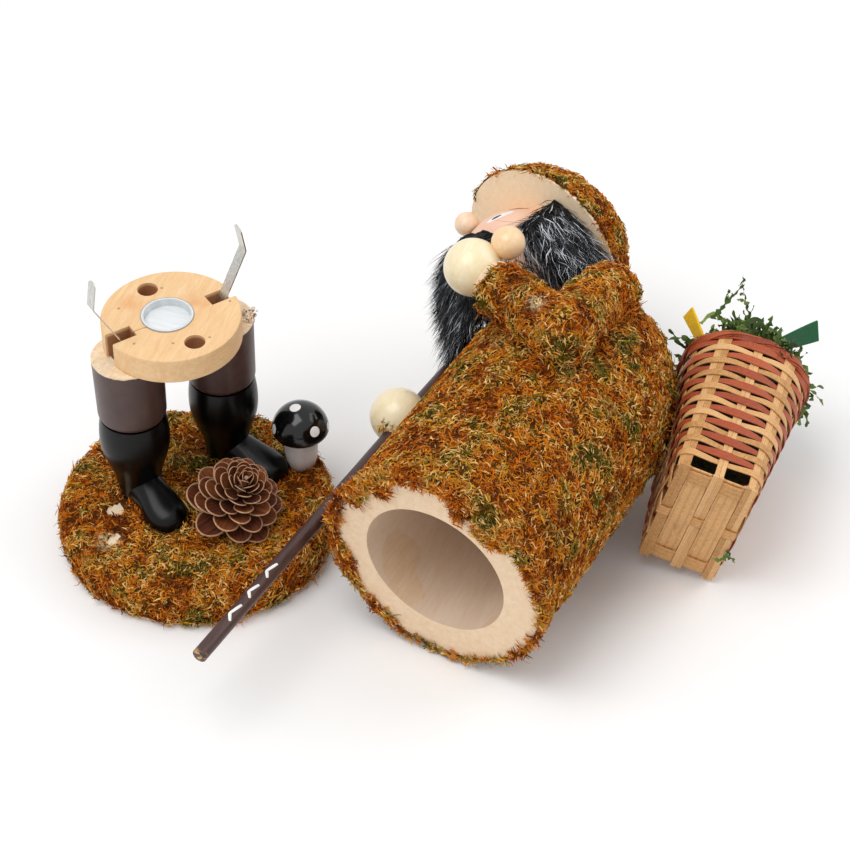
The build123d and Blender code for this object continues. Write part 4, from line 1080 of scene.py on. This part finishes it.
def makeFace():
    white = plainPaint("eyeWhite", "ece8e6", "fdfbfa", 0.35)
    black = plainPaint("eyeBlack", "0b0a0a", "1d1816", 0.3)
    brown = plainPaint("browPaint", "6b4a38", "7d5945", 0.4)
    eye, eyeEnd, brow = (np.array(faceLook[key]) for key in ("eye", "eyeEnd", "brow"))
    ways = np.array((eye - headMiddle, eyeEnd - eye, brow - headMiddle))
    mirrored = ways - 2 * (ways @ figureLeft)[:, None] * figureLeft  # the other eye, across the figure
    for side, (out, along, browOut) in (("left", ways), ("right", mirrored)):
        headPatch("eye_white_" + side, out, along, faceLook["white"], white)
        darkOut = unit(out) * hat["headRadius"] - unit(along) * faceLook["darkBack"]
        headPatch("eye_dark_" + side, darkOut, along, faceLook["dark"], black)
        headPatch("brow_" + side, browOut, along, faceLook["line"], brown)
    print("face painted")


makeFace()


def makeStickMarks():
    white = plainPaint("markWhite", "e9e6e1", "fdfbf8", 0.4)
    along = unit(stickTop - stickFoot)
    facing = unit(np.array((0, 0, 1.0)) - along[2] * along)
    side = np.cross(along, facing)
    radius = stickMarks["radius"]
    share = np.linspace(-1, 1, 17)
    points, faces = [], []
    for reach, stretch in stickMarks["at"]:
        run = reach + share * stickMarks["length"] / 2 * stretch
        knee = share + stickMarks["knee"]  # the lower leg of a mark turns off at its knee
        lower, upper = stickMarks["legs"]
        angle = np.radians(np.where(knee < 0, lower * knee, upper * knee) - stickMarks["turn"])
        wide = stickMarks["wide"] * (0.5 + 0.5 * np.sqrt(1 - share ** 2 * 0.9))
        middle = np.column_stack((run, angle * radius))
        way = unit(np.gradient(middle, axis=0))
        cross = np.column_stack((-way[:, 1], way[:, 0])) * wide[:, None] / 2
        rows = []
        for edge, lift in stickMarks["edges"]:
            flat = middle + cross * edge
            bend = flat[:, 1:] / radius
            out = facing * np.cos(bend) + side * np.sin(bend)
            rows.append(stickFoot + along * flat[:, :1] + out * (radius + lift))
        first = 4 * len(share) * len(points)
        points.append(np.stack(rows, 1).reshape(-1, 3))
        for a in range(first, first + 4 * (len(share) - 1), 4):
            faces += [(a + k, a + k + 1, a + k + 5, a + k + 4) for k in range(3)]
    newPiece("stick_marks", np.concatenate(points), faces, white, "upper_half", True)
    print("stick marked")


makeStickMarks()


# finishes of the turned and metal pieces
def woodFinish(name, shades, grainTurn, rough, specks, coat=0.0):
    f = Finish(name)
    deep, middle, pale = shades
    rings = f.noise(1, 5, 0.6, f.stretch((60, 420, 420), grainTurn), 0.6)
    fine = f.noise(1, 2, 0.5, f.stretch((260, 2600, 2600), grainTurn))
    shade = f.ramp(rings * 0.7 + fine * 0.3, (0.3, deep), (0.5, middle), (0.7, pale))
    speck = f.level(f.noise(900, 2, 0.7), 0.66, 0.74)
    shade = f.mix(speck * specks, shade, colour("6b4424"))
    f.wear(roughness=rings * 0.15 + rough, coatWeight=coat, coatRoughness=0.2, specularIORLevel=0.35,
           normal=f.bump(fine, 0.12, 0.0002))
    return f, shade


def dress(finish, *names):
    for name in names:
        nodes[name].data.materials.clear()
        nodes[name].data.materials.append(finish)


# three colours, turn of the grain, roughness, specks and varnish, then the nodes
plainWoods = {
    "baseWood": (("d9bd92", "ecd6b4", "f8ead2"), (0, 0, 0), 0.45, 0.15, 0.0, ("base_disc", "leg_dowels")),
    "hatWood": (("f1d4ae", "f6debb", "fae7cb"), (0, 0.3, 0.5), 0.5, 0.05, 0.0, ("hat",)),
    "noseWood": (("f0cba6", "f5d5b4", "f9e0c6"), (0.2, 0.5, 0.1), 0.28, 0.04, 0.35, ("nose",)),
    "creamWood": (("efdcab", "f5e5bd", "f9edd0"), (0.4, 0.2, 0.3), 0.22, 0.04, 0.5,
                  ("left_hand", "right_hand")),
    "thumbWood": (("f0c48e", "f5d0a2", "f9dcb8"), (0.1, 0.7, 0.3), 0.22, 0.05, 0.5, ("left_thumb",)),
}


def dressWoods():
    for name, (shades, grainTurn, rough, specks, coat, names) in plainWoods.items():
        f, shade = woodFinish(name, shades, grainTurn, rough, specks, coat)
        dress(f.wear(baseColor=shade), *names)
    print("plain woods dressed")


dressWoods()


# lower half
plate = {"middle": (12.0, 10.2, 0.0), "top": 105.0, "cup": (11.57, 11.58, 0.0), "stride": -39.0, "radius": 27.6,
         "specks": ((27.6, -8.9), (-8.6, 17.4), (4.2, -9.4), (-3.6, 3.0), (26.8, 20.2), (9.5, 31.6)),
         "knots": ((22.5, 2.5), (14.0, 28.5)), "thighTop": 93.7}
crumbs = {"count": 40, "middle": (33.4, -14.2), "spread": (2.3, 2.0), "size": (0.35, 1.0), "lift": 0.1}


def dressLower():
    f = Finish("blackLacquer")
    cloud = f.noise(70, 4)
    dust = f.level(f.noise(500, 3, 0.7), 0.6, 0.8)
    shade = f.mix(dust * 0.1, f.ramp(cloud, (0.3, "010101"), (0.7, "030405")), colour("1a1c1e"))
    dress(f.wear(baseColor=shade, roughness=cloud * 0.12 + 0.24 + dust * 0.1, specularIORLevel=0.24,
                 normal=f.bump(f.noise(45, 3), 0.1, 0.001)),
          "right_boot_shaft", "left_boot_shaft", "right_boot_foot", "left_boot_foot")
    dressThighs()
    dressPlate()
    f = Finish("springSteel")
    brushed = f.noise(1, 3, 0.6, f.stretch((1800, 1800, 60)))
    spots = f.level(f.noise(260, 4, 0.7), 0.6, 0.75)
    shade = f.mix(spots * 0.25, f.ramp(brushed, (0.3, "b4b3ae"), (0.7, "e2e1dd")), colour("77695a"))
    dress(f.wear(baseColor=shade, metallic=1.0, roughness=brushed * 0.2 + 0.2 + spots * 0.1),
          "right_strip_foot", "left_strip_foot", "right_strip_blade", "left_strip_blade", "strip_tacks")
    dressMushroom()
    print("lower half dressed")


def dressThighs():
    f = Finish("brownPaint")
    top = plate["thighTop"]
    bare = f.level(f.height() + f.noise(320, 4) * 0.0012, (top - 0.2) * mm, (top + 0.2) * mm)
    paint = f.ramp(f.noise(110, 4), (0.3, "3d2722"), (0.7, "4d342e"))
    wood = f.ramp(f.noise(1, 4, 0.6, f.stretch((500, 500, 90))), (0.3, "e2c39c"), (0.7, "f3dfc2"))
    wood = f.mix(f.level(f.noise(420, 3, 0.7), 0.6, 0.72) * 0.5, wood, colour("a8794c"))
    dress(f.wear(baseColor=f.mix(bare, paint, wood), roughness=f.noise(260, 3) * 0.15 + 0.32 + bare * 0.2,
                 coatWeight=0.1, coatRoughness=0.25, normal=f.bump(f.noise(120, 4), 0.12, 0.0004)),
          "right_thigh", "left_thigh")
    crumb = Finish("glueCrumbs")
    mottle = crumb.noise(700, 3)
    crumbPaint = crumb.wear(baseColor=crumb.ramp(mottle, (0.36, "6e4526"), (0.46, "c9a67c"), (0.58, "f6efe4")),
                            roughness=mottle * 0.2 + 0.4, normal=crumb.bump(mottle, 0.5, 0.0005))
    rng = np.random.default_rng(33)
    places = [rng.normal(middle, spread, crumbs["count"])
              for middle, spread in zip(crumbs["middle"], crumbs["spread"])]
    ball = shaped(bpy.ops.mesh.primitive_ico_sphere_add, subdivisions=2, radius=1)
    ballPoints, corners = meshArrays(ball.data)
    bpy.data.objects.remove(ball)
    points, faces = [], []
    for x, y in zip(*places):
        lump = ballPoints * mm * rng.uniform(*crumbs["size"], 3)
        lump = lump * (1 + 0.25 * rng.normal(size=(len(lump), 1)))
        faces.append(corners + len(lump) * len(points))
        points.append(lump + (x, y, top + crumbs["lift"]))
    newPiece("glue_crumbs", np.concatenate(points), np.concatenate(faces), crumbPaint, "lower_half",
             True)


def dressPlate():
    f, shade = woodFinish("plateWood", ("dfb27e", "e8c08f", "f0cfa2"), (0, 0, 0.9), 0.5, 0.2)
    for x, y in plate["knots"]:  # warm cloudy patches
        near = f.level(f.away((x, y, plate["top"])) + f.noise(240, 3) * 0.008, 0.012, 0.004)
        shade = f.mix(near * 0.45, shade, colour("d98f55"))
    for x, y in plate["specks"]:
        shade = f.mix(f.level(f.away((x, y, plate["top"])), 0.0008, 0.0004) * 0.55, shade, colour("6d4526"))
    strideX, strideY = turn(plate["stride"])
    along = f.upAxis(plate["middle"], (strideX, strideY, 0))
    across = f.upAxis(plate["middle"], (-strideY, strideX, 0))
    bend = across + f.noise(160, 2) * 0.004 - 0.0014
    crack = f.level(along, -0.0105, -0.0115) * f.level(along, -0.018, -0.017)  # a short one beside the notch
    crack = f.level(bend * bend, 0.00000006, 0.00000001) * crack
    shade = f.mix(crack * 0.8, shade, colour("5d3a1e"))
    # painted shade inside the holes and notches, below the top face
    low = f.level(f.height(), (plate["top"] - 0.6) * mm, (plate["top"] - 2.0) * mm)
    inner = f.level(f.offAxis(plate["middle"], (0, 0, 1)), plate["radius"] * mm, (plate["radius"] - 0.8) * mm)
    shade = f.mix(low * inner * 0.78, shade, colour("98552c"))  # browner inside the holes and notches
    dress(f.wear(baseColor=shade), "burner_plate")
    f = Finish("tinplate")
    brushed = f.noise(1, 3, 0.6, f.stretch((900, 60, 60), (0, 0, 0.6)))
    off = f.offAxis(plate["cup"], (0, 0, 1))
    seam = f.level(off, 0.0088, 0.0094) * f.level(off, 0.0102, 0.0097)
    shade = f.mix(seam * 0.2, f.ramp(brushed, (0.3, "dfe3e5"), (0.7, "edf0f1")), colour("5b5f60"))
    shade = f.mix(f.level(off, 0.0102, 0.0105) * 0.6, shade, colour("4c4842"))
    dress(f.wear(baseColor=shade, metallic=0.3, roughness=brushed * 0.12 + 0.3), "incense_cup")


mushroom = {"dots": ((31.42, -33.28, 51.32, 2.4), (26.28, -43.72, 45.09, 2.3), (25.0, -25.6, 42.6, 2.2),
                     (38.8, -26.6, 46.0, 2.1), (41.6, -41.0, 43.4, 2.2), (34.6, -46.4, 41.8, 1.8),
                     (43.6, -32.6, 40.8, 1.8))}  # place and reach


def dressMushroom():
    f = Finish("mushroomBlack")
    cloud = f.noise(120, 3)
    shade = f.ramp(cloud, (0.3, "050506"), (0.7, "0d0e10"))
    painted = 0
    for *spot, reach in mushroom["dots"]:
        far = f.away(spot) + f.noise(400, 2) * 0.0004
        painted = painted + f.level(far, (reach + 0.22) * mm, (reach + 0.08) * mm)
    shade = f.mix(painted, shade, f.ramp(cloud, (0.3, "f0edea"), (0.7, "fdfbfa")))
    dress(f.wear(baseColor=shade, roughness=cloud * 0.08 + 0.12, specularIORLevel=0.35, coatWeight=0.25,
                 coatRoughness=0.06, normal=f.bump(painted, 0.5, 0.0002)), "mushroom_cap")
    f = Finish("mushroomWhite")
    cloud = f.noise(160, 4)
    foot = f.level(f.height(), 0.026, 0.021)
    shade = f.mix(foot * 0.35, f.ramp(cloud, (0.3, "dfdad6"), (0.7, "f1eeec")), colour("9a7350"))
    dress(f.wear(baseColor=shade, roughness=cloud * 0.15 + 0.35, normal=f.bump(f.noise(300, 3), 0.12, 0.0003)),
          "mushroom_stem")


dressLower()


# upper half, with runny stains in the bore: place, where each ends and is full, and strength
stains = (((-19.7, -95.8, 30.4), 19.0, 16.5, 1.0), ((-26.0, -101.3, 24.0), 16.5, 14.5, 1.0),
          ((-41.4, -139.2, 28.9), 12.0, 10.5, 0.7))
lengthwise = (0, 0, math.radians(-12))  # the grain runs along the laid figure
bore = 30.9


def dressUpper():
    f, shade = woodFinish("coatWood", ("e6c39b", "edd0ae", "f3dcbd"), lengthwise, 0.5, 0.12)
    inside = f.level(f.offAxis(figureFoot, figureUp), bore * mm, (bore - 0.5) * mm)
    streak = f.noise(1, 4, 0.55, f.stretch((16, 90, 90), lengthwise), 0.4)
    chalk = f.ramp(streak, (0.3, "bba89f"), (0.55, "cbbab3"), (0.75, "d9ccc7"))
    runny = f.noise(80, 3, 0.55, warp=0.6) * 0.014
    stain = sum(f.level(f.away(spot) + runny, ends * mm, full * mm) * strength
                for spot, ends, full, strength in stains)
    chalk = f.mix(f.level(stain, 0.0, 1.0) * 0.7, chalk, colour("b98f5e"))
    # painted shade: the bore greyer the deeper it goes
    depth = f.level(f.upAxis(figureFoot, figureUp), 0.01, 0.08)
    shade = f.mix(inside, shade, f.mix(depth * 0.3, chalk, colour("8d7c74")))
    dress(f.wear(baseColor=shade), "coat", "left_upper_arm", "right_upper_arm", "left_forearm", "right_forearm")
    f = Finish("facePaint")
    cloud = f.noise(60, 4)
    shade = f.ramp(cloud, (0.3, "efbd9f"), (0.7, "f6ceb3"))
    cheek = f.level(f.away(np.add(faceLook["eye"], faceLook["cheek"])), 0.012, 0.003)
    shade = f.mix(cheek * 0.3, shade, colour("eaa893"))
    skin = f.bump(f.noise(300, 3), 0.1, 0.0003)
    dress(f.wear(baseColor=shade, roughness=cloud * 0.1 + 0.36, normal=skin), "head")
    f = Finish("stickPaint")
    grain = f.noise(1, 4, 0.6, f.stretch((60, 700, 700), lengthwise))
    shade = f.ramp(grain, (0.3, "38231f"), (0.55, "472d28"), (0.75, "573a33"))
    tip = f.level(f.away(stickFoot), 0.0042, 0.0022) * f.level(f.noise(600, 3), 0.5, 0.6)
    shade = f.mix(tip, shade, colour("c79a55"))
    dress(f.wear(baseColor=shade, roughness=grain * 0.15 + 0.32, coatWeight=0.1, coatRoughness=0.2,
                 normal=f.bump(grain, 0.15, 0.0003)), "walking_stick")
    print("upper half dressed")


dressUpper()
